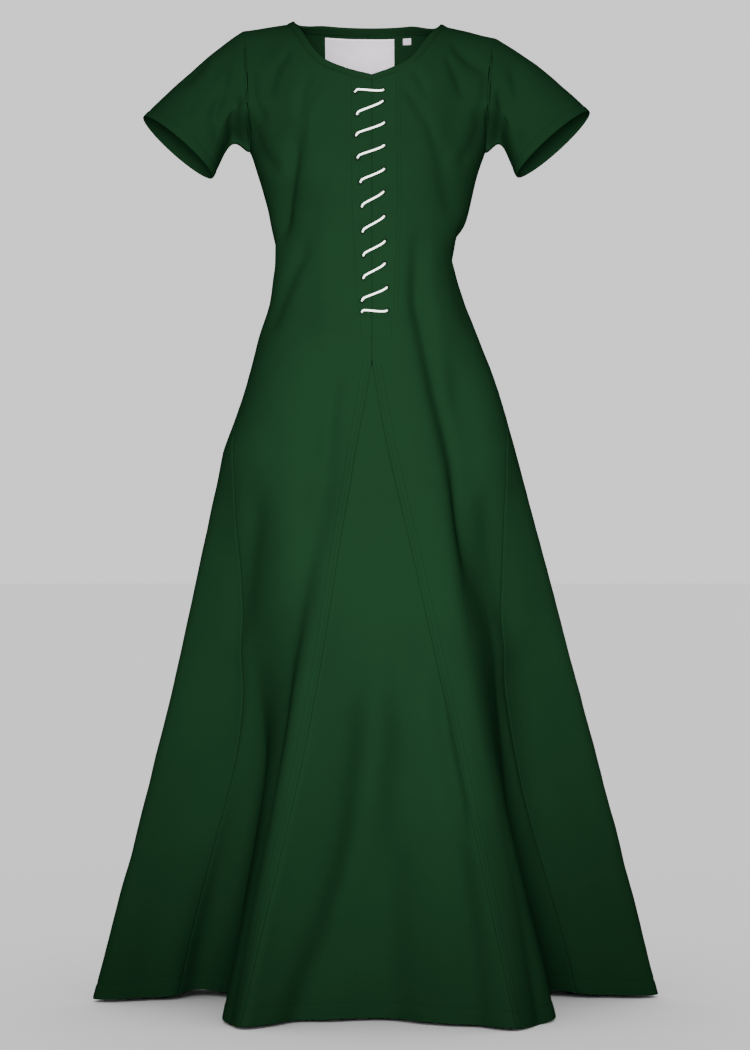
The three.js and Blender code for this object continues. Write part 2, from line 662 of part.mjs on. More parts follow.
// The binding is one strip round the neck, open at the centre front
function neckBinding() {
  const steps = columnsBetween('gore_seam_right', 'side_front_right').length - 1 - SHOULDER_STEPS;
  const backSteps = (columnsBetween('side_back_right', 'side_back_left').length - 1) / 2 - SHOULDER_STEPS;
  const stations = [
    ...range(steps).map((t) => ['right', true, t]),
    ...range(backSteps).slice(0, -1).reverse().map((t) => ['right', false, t]),
    ...range(backSteps).slice(1).map((t) => ['left', false, t]),
    ...range(steps).slice(0, -1).reverse().map((t) => ['left', true, t]),
  ];
  const raise = (BAND_WALL - WALL) / 2;
  const rows = range(2).map((across) => stations.map(([side, isFront, t]) => {
    const [x, z] = neckPoint(side, isFront, t, BAND_WIDTH * across);
    const point = onUpper(x, t === 1 ? 90 : liftOf(x, z, isFront));
    point.place.addScaledVector(point.out, raise);
    return point;
  }));
  const gap = () => OPENING_GAP;
  const inset = insetEdges(rows, { first: gap, last: gap, top: 0, bottom: BAND_INSET });
  return wallGeometry(inset, BAND_WALL);
}

// Labels lie on the inside of the back panel, a hair clear of it
function neckLabel(size) {
  const rows = range(size.rows).map((down) => range(size.columns).map((across) => {
    const x = mix(size.right, size.left, across);
    const z = mix(size.top, size.bottom, down);
    const point = onUpper(x, liftOf(x, z, false));
    point.place.addScaledVector(point.out, -(WALL + LABEL_CLEARANCE));
    return point;
  }));
  return wallGeometry(rows, LABEL_WALL);
}

// Eyelets and the lace
function frontSurface([x, z]) {
  if (z > ARMPIT_Z) return upper(x, liftOf(x, z, true));
  const below = LEVELS.findIndex((level) => level < z);
  const [lower, higher] = [LEVELS[below], LEVELS[below - 1]];
  const depthAt = (level) => {
    const halfWidth = x < 0 ? -body.right(level) : body.left(level);
    return body.front(level) * (1 - Math.abs(x / halfWidth) ** RING_POWER) ** (1 / RING_POWER);
  };
  return vector(x, mix(depthAt(lower), depthAt(higher), (z - lower) / (higher - lower)), z);
}

function toManifold(geometry) {
  const bare = geometry.clone();
  bare.deleteAttribute('normal');
  bare.deleteAttribute('uv');
  const merged = mergeVertices(bare, 1e-4);
  const mesh = new wasm.Mesh({
    numProp: 3,
    vertProperties: new Float32Array(merged.attributes.position.array),
    triVerts: new Uint32Array(merged.index.array),
  });
  return new wasm.Manifold(mesh);
}

function toGeometry(solid) {
  const mesh = solid.getMesh();
  const geometry = new THREE.BufferGeometry();
  geometry.setAttribute('position', new THREE.Float32BufferAttribute(mesh.vertProperties, 3));
  geometry.setIndex(Array.from(mesh.triVerts));
  geometry.computeVertexNormals();
  return geometry;
}

function withEyelets(panel, side) {
  let solid = toManifold(panel);
  for (const row of EYELETS) {
    const centre = frontSurface(row[side]);
    const radius = EYELET_DIAMETER / 2;
    const drill = new THREE.CylinderGeometry(radius, radius, EYELET_DRILL, EYELET_SIDES);
    drill.translate(centre.x, centre.y, centre.z);
    solid = solid.subtract(toManifold(drill));
  }
  return toGeometry(solid);
}

// A curve whose even steps fall on its own points
class Route extends THREE.CatmullRomCurve3 {
  getUtoTmapping(u) {
    return u;
  }
}

// The lace's way: over the slit in front, through an eyelet and back behind the slit
function laceRoute() {
  const front = LACE_DIAMETER / 2 + LACE_LIFT;
  const behind = WALL + front;
  const points = [];
  const lay = (from, to, depth) => {
    const span = Math.hypot(to[0] - from[0], to[1] - from[1]);
    for (const t of [LACE_TURN / span, 0.5, 1 - LACE_TURN / span]) {
      const place = frontSurface([mix(from[0], to[0], t), mix(from[1], to[1], t)]);
      points.push(place.add(vector(0, depth, 0)));
    }
  };
  const through = (eyelet) => points.push(frontSurface(eyelet).add(vector(0, WALL / 2, 0)));
  const first = EYELETS[0].right;
  lay([first[0] - LACE_TAIL[0], first[1] + LACE_TAIL[1]], first, behind);
  EYELETS.forEach((row, i) => {
    through(row.right);
    lay(row.right, row.left, -front);
    through(row.left);
    const next = EYELETS[i + 1];
    if (next) lay(row.left, next.right, behind);
  });
  const last = EYELETS[EYELETS.length - 1].left;
  lay(last, [last[0] + LACE_TAIL[0], last[1] + LACE_TAIL[1]], behind);
  return points;
}

function laceTube() {
  const points = laceRoute();
  const section = new THREE.Shape(range(LACE_SIDES).slice(0, -1).map((t) => new THREE.Vector2(
    Math.cos(t * 2 * Math.PI) * LACE_DIAMETER / 2,
    Math.sin(t * 2 * Math.PI) * LACE_DIAMETER / 2,
  )));
  const path = new Route(points, false, 'centripetal');
  return new THREE.ExtrudeGeometry(section, { steps: points.length - 1, extrudePath: path });
}

const finishes = {
  twill: new THREE.MeshStandardMaterial({ color: COLORS.twill, roughness: 0.85, metalness: 0 }),
  binding: new THREE.MeshStandardMaterial({ color: COLORS.binding, roughness: 0.85, metalness: 0 }),
  lace: new THREE.MeshStandardMaterial({ color: COLORS.lace, roughness: 0.7, metalness: 0 }),
  label: new THREE.MeshStandardMaterial({ color: COLORS.label, roughness: 0.6, metalness: 0 }),
};

function piece(name, geometry, finish) {
  const mesh = new THREE.Mesh(geometry, finish);
  mesh.name = name;
  return mesh;
}

const gown = new THREE.Group();
gown.add(
  piece('front_right', withEyelets(frontPanel('right'), 'right'), finishes.twill),
  piece('front_left', withEyelets(frontPanel('left'), 'left'), finishes.twill),
  piece('front_gore', frontGore(), finishes.twill),
  piece('side_gore_right', sideGore('right'), finishes.twill),
  piece('side_gore_left', sideGore('left'), finishes.twill),
  piece('back', backPanel(), finishes.twill),
  piece('sleeve_right', sleeveTube('right'), finishes.twill),
  piece('sleeve_left', sleeveTube('left'), finishes.twill),
  piece('neck_binding', neckBinding(), finishes.binding),
  piece('lace', laceTube(), finishes.lace),
  ...Object.entries(LABELS).map(([name, size]) => piece(name, neckLabel(size), finishes.label)),
);

export default gown;
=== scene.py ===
"""A floor-length medieval gown of dark green twill, filled out with no wearer.

Metres, +Z up, the front faces -Y, and the wearer's right is at -X. Every panel follows one
smooth surface, so neighbours meet at their seams, and creases, seam dips and stitch
grooves are added on top.
"""

import math

import bpy
import numpy as np
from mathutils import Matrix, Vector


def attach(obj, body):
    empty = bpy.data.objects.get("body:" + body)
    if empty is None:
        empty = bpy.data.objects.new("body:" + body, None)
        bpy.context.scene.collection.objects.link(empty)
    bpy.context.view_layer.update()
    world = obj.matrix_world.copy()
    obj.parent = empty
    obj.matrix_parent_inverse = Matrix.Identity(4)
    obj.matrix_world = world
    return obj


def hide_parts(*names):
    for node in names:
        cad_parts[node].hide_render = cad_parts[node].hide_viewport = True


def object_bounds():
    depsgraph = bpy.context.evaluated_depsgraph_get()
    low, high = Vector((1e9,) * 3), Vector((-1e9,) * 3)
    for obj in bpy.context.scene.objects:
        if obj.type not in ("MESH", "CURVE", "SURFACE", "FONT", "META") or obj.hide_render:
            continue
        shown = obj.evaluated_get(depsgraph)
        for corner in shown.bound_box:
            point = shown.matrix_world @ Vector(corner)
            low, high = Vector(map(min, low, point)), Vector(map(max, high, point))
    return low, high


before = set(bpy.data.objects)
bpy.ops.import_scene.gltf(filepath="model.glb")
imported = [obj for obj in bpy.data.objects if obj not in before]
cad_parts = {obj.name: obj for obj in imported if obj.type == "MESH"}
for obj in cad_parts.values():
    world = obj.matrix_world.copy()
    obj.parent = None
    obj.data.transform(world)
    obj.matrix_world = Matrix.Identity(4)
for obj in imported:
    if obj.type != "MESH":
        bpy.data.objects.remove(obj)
CAD_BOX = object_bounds()

MM = 0.001
BODY = "root"

# Levels, in metres
ARMPIT_Z = -0.170
GORE_APEX_Z = -0.477
SIDE_APEX_Z = -0.523
HIP_Z = -0.600
KNEE_Z = -0.944
HEM_Z = -1.387

# How full the rings, the shoulders and the armholes are
RING_POWER = 2.2
SHOULDER_POWER = 2.3
ARMHOLE_POWER = 1.4

# Depth of the chest at its middle and at the armholes, and how it turns into the ring below
CHEST = {"front": (-0.116, -0.062), "back": (0.101, 0.066)}
CHEST_BLEND = 0.38
CHEST_POWER = 2.4
CHEST_REACH = 1.1

# The shoulder line in the middle of the neck, before it rises over the neck
NECK_BASE_Z = 0.014
NECK_RISE = 0.046

CLOTH = 1.5 * MM

# Girth of the bodice by level: z, right, left, front, back
GIRTHS = np.array([
    [-0.170, -0.176, 0.163, -0.122, 0.101],
    [-0.209, -0.163, 0.150, -0.130, 0.098],
    [-0.267, -0.147, 0.137, -0.113, 0.089],
    [-0.324, -0.141, 0.119, -0.098, 0.087],
    [-0.382, -0.146, 0.131, -0.104, 0.098],
    [-0.440, -0.164, 0.154, -0.117, 0.114],
    [-0.523, -0.186, 0.185, -0.129, 0.128],
    [-0.600, -0.214, 0.207, -0.136, 0.136],
])

# Lines down the skirt: name, degrees round the bodice, degrees round the hip, level where it
# starts, and its place at the knee and the hem, on the wearer's right and on the left
SKIRT_LINES = [
    ("gore_dip", 0, 2, GORE_APEX_Z, (-0.034, -0.158), (-0.075, -0.193), (0.044, -0.158), (0.072, -0.203)),
    ("gore_seam", 0, 5, GORE_APEX_Z, (-0.077, -0.174), (-0.178, -0.243), (0.100, -0.175), (0.196, -0.257)),
    ("crest", 15, 17, GORE_APEX_Z, (-0.104, -0.171), (-0.202, -0.212), (0.137, -0.168), (0.241, -0.216)),
    ("valley", 62, 52, GORE_APEX_Z, (-0.172, -0.064), (-0.212, 0.008), (0.184, -0.060), (0.250, 0.012)),
    ("side_front", 90, 67, SIDE_APEX_Z, (-0.192, -0.048), (-0.276, -0.003), (0.203, -0.046), (0.296, 0.008)),
    ("flare", 90, 90, SIDE_APEX_Z, (-0.290, 0.004), (-0.403, -0.008), (0.300, 0.006), (0.418, 0.034)),
    ("side_back", 90, 110, SIDE_APEX_Z, (-0.228, 0.066), (-0.304, 0.116), (0.236, 0.070), (0.312, 0.138)),
    ("back_valley", 118, 125, SIDE_APEX_Z, (-0.180, 0.098), (-0.228, 0.122), (0.186, 0.102), (0.240, 0.134)),
    ("back_crest", 150, 152, SIDE_APEX_Z, (-0.126, 0.176), (-0.176, 0.236), (0.134, 0.178), (0.188, 0.242)),
]
FRONT_MIDDLE = ("front_middle", 0, 0, GORE_APEX_Z, (0.006, -0.150), (0.0, -0.171))
BACK_MIDDLE = ("back_middle", 180, 180, SIDE_APEX_Z, (0.004, 0.160), (0.006, 0.192))

# Shoulders and neck, x and z
SHOULDERS = {
    "right": {"neck": (-0.112, 0.015), "tip": (-0.186, 0.004)},
    "left": {"neck": (0.099, 0.011), "tip": (0.179, -0.006)},
}
NECK_FRONT = {
    "right": [(0, -0.074), (-0.039, -0.063), (-0.069, -0.048),
              (-0.086, -0.028), (-0.102, 0), (-0.112, 0.015)],
    "left": [(0, -0.074), (0.033, -0.061), (0.056, -0.046),
             (0.071, -0.026), (0.088, -0.002), (0.099, 0.011)],
}
BACK_NECK_MIDDLE = (-0.004, 0.020)
BACK_NECK_SHARE = 0.55
NECK_SHARE = {"front": 0.7, "back": 0.75}

# Cuffs: upper and lower end of the opening seen from the front, x and z
CUFFS = {
    "right": {"top": (-0.329, -0.120), "bottom": (-0.229, -0.206)},
    "left": {"top": (0.314, -0.112), "bottom": (0.209, -0.204)},
}
CUFF_HALF_DEPTH = 0.050
CUFF_LEAN = 0.009
SLEEVE_BULGE = 0.007

# Eyelets from the neck down: x and z on the wearer's right and left edge
EYELETS = [
    ((-0.023, -0.098), (0.016, -0.096)),
    ((-0.021, -0.131), (0.015, -0.112)),
    ((-0.022, -0.161), (0.017, -0.143)),
    ((-0.020, -0.193), (0.017, -0.175)),
    ((-0.016, -0.227), (0.017, -0.209)),
    ((-0.014, -0.260), (0.016, -0.240)),
    ((-0.013, -0.294), (0.017, -0.273)),
    ((-0.012, -0.327), (0.018, -0.307)),
    ((-0.012, -0.359), (0.018, -0.338)),
    ((-0.014, -0.391), (0.021, -0.372)),
    ((-0.014, -0.407), (0.021, -0.405)),
]
LACE_RADIUS = 1.4 * MM
EYELET_HOLE = 2.6 * MM

# Stitch lines beside the slit and the small bar below it, x and z
SLIT_STITCHES = [
    [(-0.029, -0.078), (-0.028, -0.250), (-0.020, -0.408)],
    [(0.034, -0.064), (0.036, -0.250), (0.031, -0.408)],
    [(0.039, -0.062), (0.041, -0.250), (0.036, -0.412)],
    [(-0.016, -0.412), (0.027, -0.412), (0.027, -0.444), (-0.016, -0.444), (-0.016, -0.412)],
    [(-0.014, -0.415), (0.025, -0.415)],
]

# Creases: face, width, depth and path, all in millimetres. A path is (x, z)
# pairs on front and back, and (y, z) pairs on the sides. Depth is inward, so a ridge is negative.
CREASES = [
    # front bodice
    ("front", 20, 6.5, [(-98, -120), (-114, -200), (-126, -262), (-134, -330)]),
    ("front", 26, 6.0, [(-156, 10), (-152, -50), (-140, -110), (-130, -180)]),
    ("front", 11, 5.0, [(-84, -292), (-114, -350), (-154, -446)]),
    ("front", 14, -2.4, [(-52, -200), (-70, -330), (-62, -480)]),
    ("front", 12, 4.5, [(-48, -470), (-62, -560), (-70, -640)]),
    ("front", 24, 6.5, [(140, 0), (136, -60), (124, -120), (112, -190)]),
    ("front", 14, 5.5, [(94, -160), (104, -220), (118, -280)]),
    ("front", 14, 12.0, [(66, -250), (66, -390), (80, -460), (96, -530), (112, -590), (128, -660),
                         (140, -740), (150, -820)]),
    ("front", 10, 3.2, [(110, -290), (126, -372), (150, -450)]),
    ("front", 9, 4.2, [(108, -18), (142, -44), (170, -66)]),
    ("front", 8, 3.6, [(102, -32), (122, -72), (136, -106)]),
    ("front", 8, 3.0, [(58, -62), (70, -84), (80, -110)]),
    ("front", 9, 3.4, [(-112, -24), (-138, -60), (-154, -108)]),
    ("front", 8, 2.6, [(-86, -60), (-100, -100), (-104, -140)]),
    ("front", 9, 6.0, [(-106, -150), (-120, -236), (-134, -310)]),
    ("front", 7, 5.0, [(-190, -90), (-198, -128), (-203, -162)]),
    ("front", 10, 4.4, [(-182, -120), (-160, -176), (-128, -218)]),
    ("front", 7, 5.0, [(180, -80), (186, -118), (186, -156)]),
    ("front", 10, 4.4, [(170, -110), (146, -168), (118, -206)]),
    ("front", 9, 4.0, [(36, -80), (60, -108), (82, -146), (96, -190)]),
    ("front", 8, 3.6, [(-174, -50), (-170, -100), (-152, -148)]),
    ("front", 8, 3.6, [(166, -48), (162, -98), (144, -144)]),
    ("front", 8, -2.4, [(-60, -82), (-84, -126), (-94, -180)]),
    # front skirt
    ("front", 26, 19.0, [(6, -880), (2, -1000), (-10, -1110), (-26, -1190), (-50, -1270), (-76, -1330),
                         (-100, -1400)]),
    ("front", 18, 14.0, [(90, -880), (100, -1000), (116, -1080), (124, -1150)]),
    ("front", 20, 11.0, [(108, -1100), (118, -1190), (132, -1280), (140, -1400)]),
    ("front", 22, -5.0, [(-40, -560), (-80, -800), (-124, -1060), (-176, -1400)]),
    ("front", 24, 5.0, [(20, -1120), (30, -1400)]),
    ("front", 30, 20.0, [(-50, -450), (-62, -600), (-80, -720), (-106, -820), (-128, -900), (-148, -990),
                         (-168, -1080), (-190, -1160), (-212, -1240), (-232, -1320), (-248, -1400)]),
    ("front", 18, 8.0, [(-160, -640), (-178, -760), (-196, -900)]),
    ("front", 44, 17.0, [(-196, -840), (-212, -1000), (-230, -1200), (-244, -1400)]),
    ("front", 30, 9.0, [(-262, -1040), (-300, -1230), (-324, -1400)]),
    ("front", 32, 18.0, [(110, -400), (126, -500), (140, -600), (152, -700), (164, -800), (180, -900)]),
    ("front", 16, 7.0, [(172, -620), (184, -760), (206, -900)]),
    ("front", 44, 27.0, [(216, -790), (236, -1000), (256, -1200), (270, -1400)]),
    ("front", 30, 9.0, [(280, -1060), (318, -1240), (342, -1400)]),
    # sleeves
    ("front", 8, 3.4, [(-204, -44), (-214, -90), (-232, -140)]),
    ("front", 9, -2.6, [(-226, -50), (-246, -96), (-254, -150)]),
    ("front", 8, 3.4, [(198, -50), (208, -96), (222, -144)]),
    ("front", 9, -2.6, [(212, -56), (232, -100), (244, -150)]),
    ("front", 9, 4.0, [(-214, -90), (-224, -124), (-216, -168)]),
    ("front", 12, 4.0, [(-200, -34), (-236, -76), (-262, -128)]),
    ("front", 10, 3.4, [(-232, -30), (-276, -84)]),
    ("front", 12, 4.0, [(192, -40), (222, -84), (240, -138)]),
    ("front", 10, 3.6, [(190, -92), (204, -130), (206, -176)]),
    ("back", 12, 4.0, [(-196, -40), (-240, -100), (-262, -170)]),
    ("back", 9, 4.0, [(-188, -90), (-200, -160)]),
    ("back", 12, 4.0, [(190, -50), (226, -110), (246, -170)]),
    ("back", 9, 4.0, [(178, -94), (186, -160)]),
    # back bodice and skirt
    ("back", 16, 7.0, [(-106, -110), (-118, -206), (-112, -300), (-124, -400)]),
    ("back", 15, 6.5, [(98, -108), (110, -210), (98, -320), (112, -420)]),
    ("back", 14, 5.0, [(-52, -262), (-8, -336), (40, -380)]),
    ("back", 12, 4.4, [(-82, -318), (-20, -392), (66, -440)]),
    ("back", 11, 3.0, [(-60, -20), (-78, -90), (-80, -150)]),
    ("back", 12, 3.4, [(64, -24), (76, -100), (70, -170)]),
    ("back", 26, 18.0, [(-60, -620), (-72, -860), (-88, -1120), (-94, -1400)]),
    ("back", 28, 20.0, [(46, -560), (66, -820), (92, -1100), (104, -1400)]),
    ("back", 20, -4.0, [(-4, -820), (-10, -1140), (4, -1400)]),
    ("back", 19, 11.0, [(16, -960), (30, -1160), (28, -1400)]),
    ("back", 24, 12.0, [(-200, -800), (-232, -1020), (-252, -1220), (-252, -1400)]),
    ("back", 24, 12.0, [(206, -780), (240, -1000), (264, -1200), (264, -1400)]),
    # sides
    ("right", 15, 2.0, [(56, -236), (20, -304), (-20, -350)]),
    ("right", 14, 2.4, [(-30, -272), (24, -344), (70, -410)]),
    ("right", 24, 10.0, [(70, -700), (78, -900), (86, -1100), (90, -1400)]),
    ("left", 15, 5.4, [(44, -226), (10, -290), (-30, -330)]),
    ("left", 14, 4.0, [(-46, -264), (6, -332), (56, -400)]),
    ("left", 24, 10.0, [(74, -680), (86, -900), (100, -1100), (106, -1400)]),
]


# Small helpers

def smooth(t):
    t = np.clip(t, 0, 1)
    return t * t * (3 - 2 * t)


def mix(a, b, t):
    return a + (b - a) * t


def signed_power(value, power):
    return np.sign(value) * np.abs(value) ** power


def unit(vectors):
    return vectors / np.maximum(np.linalg.norm(vectors, axis=-1, keepdims=True), 1e-12)


def bell(distance, width):
    """A smooth bump: 1 in its middle and nearly 0 two widths away."""
    return np.exp(-(distance / width) ** 2)


def run_lengths(points):
    """Length along a line of points, from its first point to each."""
    return np.concatenate([[0], np.cumsum(np.linalg.norm(np.diff(points, axis=0), axis=1))])


def along_line(places, lengths, points):
    """The points at places along a line whose points lie at the given lengths."""
    return np.stack([np.interp(places, lengths, column) for column in points.T], axis=-1)


def curve_through(xs, ys, steady=False):
    """A smooth curve through points whose x rises; flat runs stay flat when steady."""
    xs = np.asarray(xs, float)
    ys = np.asarray(ys, float)
    slopes = np.diff(ys) / np.diff(xs)
    before, after = slopes[:-1], slopes[1:]
    if steady:
        total = np.where(np.abs(before + after) < 1e-12, 1, before + after)
        inner = np.where(before * after <= 0, 0, 2 * before * after / total)
    else:
        a, b = np.diff(xs)[:-1], np.diff(xs)[1:]
        inner = (before * b + after * a) / (a + b)
    tangents = np.concatenate([slopes[:1], inner, slopes[-1:]])

    def curve(x):
        x = np.asarray(x, float)
        i = np.clip(np.searchsorted(xs, x, side="right") - 1, 0, len(xs) - 2)
        span = xs[i + 1] - xs[i]
        t = (x - xs[i]) / span
        return (ys[i] * (1 + 2 * t) * (1 - t) ** 2 + ys[i + 1] * t ** 2 * (3 - 2 * t)
                + span * (tangents[i] * t * (1 - t) ** 2 - tangents[i + 1] * t ** 2 * (1 - t)))

    return curve


# The gown's surface below the armpits

RISING = GIRTHS[::-1]
GIRTH_CURVES = [curve_through(RISING[:, 0], RISING[:, k]) for k in range(1, 5)]


def body_ring(angle, z):
    """The plain ring: 0 is the centre front, 90 the wearer's right, 180 the back."""
    right, left, front, back = (curve(z) for curve in GIRTH_CURVES)
    across = signed_power(np.sin(np.radians(angle)), 2 / RING_POWER)
    along = signed_power(np.cos(np.radians(angle)), 2 / RING_POWER)
    x = across * np.where(across > 0, right, -left)
    y = along * np.where(along > 0, front, -back)
    return np.stack([x, y, z + 0 * x], axis=-1)


def all_lines():
    """The lines in order round the hem, from the centre front by the wearer's right."""
    right = [(f"{name}_right", a, b, start, knee, hem)
             for name, a, b, start, knee, hem, _, _ in SKIRT_LINES]
    left = [(f"{name}_left", 360 - a, 360 - b, start, knee, hem)
            for name, a, b, start, _, _, knee, hem in SKIRT_LINES]
    again = ("front_middle_again", 360, 360, *FRONT_MIDDLE[3:])
    return [FRONT_MIDDLE, *right, BACK_MIDDLE, *left[::-1], again]


LINES = all_lines()
AROUND = run_lengths([line[5] for line in LINES])
GIRTH = AROUND[-1]


def around_of(name):
    return AROUND[[line[0] for line in LINES].index(name)]


def angles_at(around, z):
    """Place round the ring, in degrees, of places round the hem, at one level."""
    shares = [np.clip((line[3] - z) / (line[3] - HIP_Z), 0, 1) for line in LINES]
    degrees = [mix(line[1], line[2], share) for line, share in zip(LINES, shares)]
    return curve_through(AROUND, degrees, steady=True)(around)


def line_place(line, z):
    hip = body_ring(line[2], HIP_Z)
    knee, hem = line[4], line[5]
    return [curve_through([HEM_Z, KNEE_Z, HIP_Z], [hem[k], knee[k], hip[k]])(z) for k in (0, 1)]


RING_SAMPLES = 900
SAMPLE_AROUND = np.arange(RING_SAMPLES) * GIRTH / RING_SAMPLES
MAP_ROWS = 120
MAP_BELOW_HEM = 0.02
MAP_LEVELS = np.linspace(HIP_Z, HEM_Z - MAP_BELOW_HEM, MAP_ROWS)
FOLD_ROUNDING = 0.011
FOLD_START = 0.15
HIP_BLEND = 0.05


def folded_ring(z):
    """The ring of the skirt at one level below the hip, as far as its lines carry it."""
    base = body_ring(angles_at(SAMPLE_AROUND, HIP_Z), HIP_Z)[:, :2]
    shifts = np.array([line_place(line, z) for line in LINES])
    shifts -= np.array([body_ring(line[2], HIP_Z)[:2] for line in LINES])
    wrap = np.concatenate([AROUND[-3:-1] - GIRTH, AROUND, AROUND[1:3] + GIRTH])
    wrapped = np.concatenate([shifts[-3:-1], shifts, shifts[1:3]])
    moves = [curve_through(wrap, wrapped[:, k], steady=True)(SAMPLE_AROUND) for k in (0, 1)]
    return base + np.stack(moves, axis=1)


def rounded(ring, amount):
    """Rounds a closed ring's corners with a soft brush of the given width along the cloth."""
    frequencies = np.fft.fftfreq(RING_SAMPLES, d=GIRTH / RING_SAMPLES)
    keep = np.exp(-2 * (math.pi * frequencies * amount) ** 2)
    return np.stack([np.fft.ifft(np.fft.fft(ring[:, k]) * keep).real for k in (0, 1)], axis=1)


def skirt_map():
    rings = []
    for z in MAP_LEVELS:
        ring = rounded(folded_ring(z), FOLD_ROUNDING * smooth((HIP_Z - z) / FOLD_START))
        rings.append(np.column_stack([ring, np.full(RING_SAMPLES, z)]))
    return np.array(rings)


def map_normals(grid):
    reach = 4
    across = np.roll(grid, -reach, axis=1) - np.roll(grid, reach, axis=1)
    return unit(np.cross(across, np.gradient(grid, axis=0)))


SKIRT = skirt_map()
SKIRT_NORMALS = map_normals(SKIRT)


def sample_map(grid, around, z):
    """Reads a map of the skirt between its samples."""
    column = (around % GIRTH) / GIRTH * RING_SAMPLES
    left = np.floor(column).astype(int) % RING_SAMPLES
    share = (column - np.floor(column))[:, None]
    row = np.clip((HIP_Z - z) / (MAP_LEVELS[0] - MAP_LEVELS[1]), 0, len(MAP_LEVELS) - 1.001)
    top = int(row)
    rows = [mix(grid[r, left], grid[r, (left + 1) % RING_SAMPLES], share) for r in (top, top + 1)]
    return mix(rows[0], rows[1], row - top)


def ring_normal(angle, z):
    turn, step = 1.5, 6 * MM
    across = body_ring(angle + turn, z) - body_ring(angle - turn, z)
    down = body_ring(angle, z - step) - body_ring(angle, z + step)
    return unit(np.cross(across, down))


def skirt_row(around, z):
    """Points and outward directions of one level, at places round the gown."""
    angle = angles_at(around % GIRTH, z)
    if z >= HIP_Z:
        return body_ring(angle, z), ring_normal(angle, z)
    out = sample_map(SKIRT_NORMALS, around, z)
    share = smooth((HIP_Z - z) / HIP_BLEND)
    return sample_map(SKIRT, around, z), unit(mix(ring_normal(angle, HIP_Z), out, share))


# The gown's surface above the armpits

def shoulder_line(x):
    """Height of the shoulder seams, carried on across the neck."""
    side = np.where(x < 0, 0, 1)
    neck = np.array([SHOULDERS["right"]["neck"], SHOULDERS["left"]["neck"]])[side]
    tip = np.array([SHOULDERS["right"]["tip"], SHOULDERS["left"]["tip"]])[side]
    seam = mix(neck[..., 1], tip[..., 1], (x - neck[..., 0]) / (tip[..., 0] - neck[..., 0]))
    inside = 1 - np.minimum(1, np.abs(x / neck[..., 0])) ** 2
    return mix(seam, np.minimum(seam, NECK_BASE_Z), inside) + NECK_RISE * inside ** 2


def upper_depth(x, rise, is_front):
    """The ring at the armpits turns into the flatter chest as it rises."""
    right, left, front, back = GIRTHS[0, 1:]
    share = np.minimum(1, np.abs(x) / np.where(x < 0, -right, left))
    ring = np.where(is_front, front, back) * (1 - share ** RING_POWER) ** (1 / RING_POWER)
    middle = np.where(is_front, CHEST["front"][0], CHEST["back"][0])
    at_armhole = np.where(is_front, CHEST["front"][1], CHEST["back"][1])
    tip = np.where(x < 0, -SHOULDERS["right"]["tip"][0], SHOULDERS["left"]["tip"][0])
    chest = mix(middle, at_armhole, np.minimum(CHEST_REACH, np.abs(x) / tip) ** CHEST_POWER)
    return mix(ring, chest, smooth(rise / CHEST_BLEND))


def upper(x, lift):
    """Lift is 0 at the armpit, 90 on the shoulder seam and 180 at the armpit behind."""
    rise = signed_power(np.sin(np.radians(lift)), 2 / SHOULDER_POWER)
    flat = np.abs(np.cos(np.radians(lift))) ** (2 / SHOULDER_POWER)
    y = upper_depth(x, rise, lift < 90) * flat
    return np.stack([x, y, mix(ARMPIT_Z, shoulder_line(x), rise)], axis=-1)


def upper_normal(x, lift):
    step, turn = 3 * MM, 2
    across = upper(x - step, lift) - upper(x + step, lift)
    above = upper(x, np.minimum(180 - turn, lift + turn))
    below = upper(x, np.maximum(turn, lift - turn))
    return unit(np.cross(above - below, across))


def lift_of(x, z, is_front):
    rise = np.clip((z - ARMPIT_Z) / (shoulder_line(x) - ARMPIT_Z), 0, 1)
    lift = np.degrees(np.arcsin(rise ** (SHOULDER_POWER / 2)))
    return lift if is_front else 180 - lift


def front_point(x, z):
    """The front's surface at one place seen from the front, for laces and stitches."""
    x, z = np.atleast_1d(np.asarray(x, float)), np.atleast_1d(np.asarray(z, float))
    high = upper(x, lift_of(x, z, True))
    half = np.where(x < 0, -GIRTH_CURVES[0](z), GIRTH_CURVES[1](z))
    flat = (1 - np.abs(x / half) ** RING_POWER) ** (1 / RING_POWER)
    low = np.stack([x, GIRTH_CURVES[2](z) * flat, z], axis=-1)
    return np.where((z > ARMPIT_Z)[:, None], high, low)


def front_out(x, z, reach=3 * MM):
    """The front's outward directions at places seen from the front."""
    across = front_point(x + reach, z) - front_point(x - reach, z)
    up = front_point(x, z + reach) - front_point(x, z - reach)
    return unit(np.cross(across, up))


def armhole(side, share, is_front):
    underarm = body_ring(90.0 if side == "right" else 270.0, ARMPIT_Z)
    tip = SHOULDERS[side]["tip"][0]
    share = np.asarray(share, float)
    x = mix(underarm[0], tip, share ** ARMHOLE_POWER)
    lift = np.where(is_front, share * 90, 180 - share * 90)
    return upper(x, lift)


# The neck edge

UNDER_BAND = 4 * MM
NECK_SAMPLES = 200

# Shares of the neck edge: how far apart its tangent is read, where its start has turned from
# straight down, and where its end begins to turn to straight out, in front and behind
NECK_REACH = 0.02
NECK_START = 0.08
NECK_END = {"front": 0.86, "back": 0.6}


def neck_curve(side):
    """Rounded polyline of the front neck edge with its share of length at each point."""
    corners = np.array(NECK_FRONT[side], float)
    lengths = run_lengths(corners)
    t = np.linspace(0, lengths[-1], NECK_SAMPLES)
    points = np.column_stack([curve_through(lengths, column)(t) for column in corners.T])
    length = run_lengths(points)
    return points, length / length[-1]


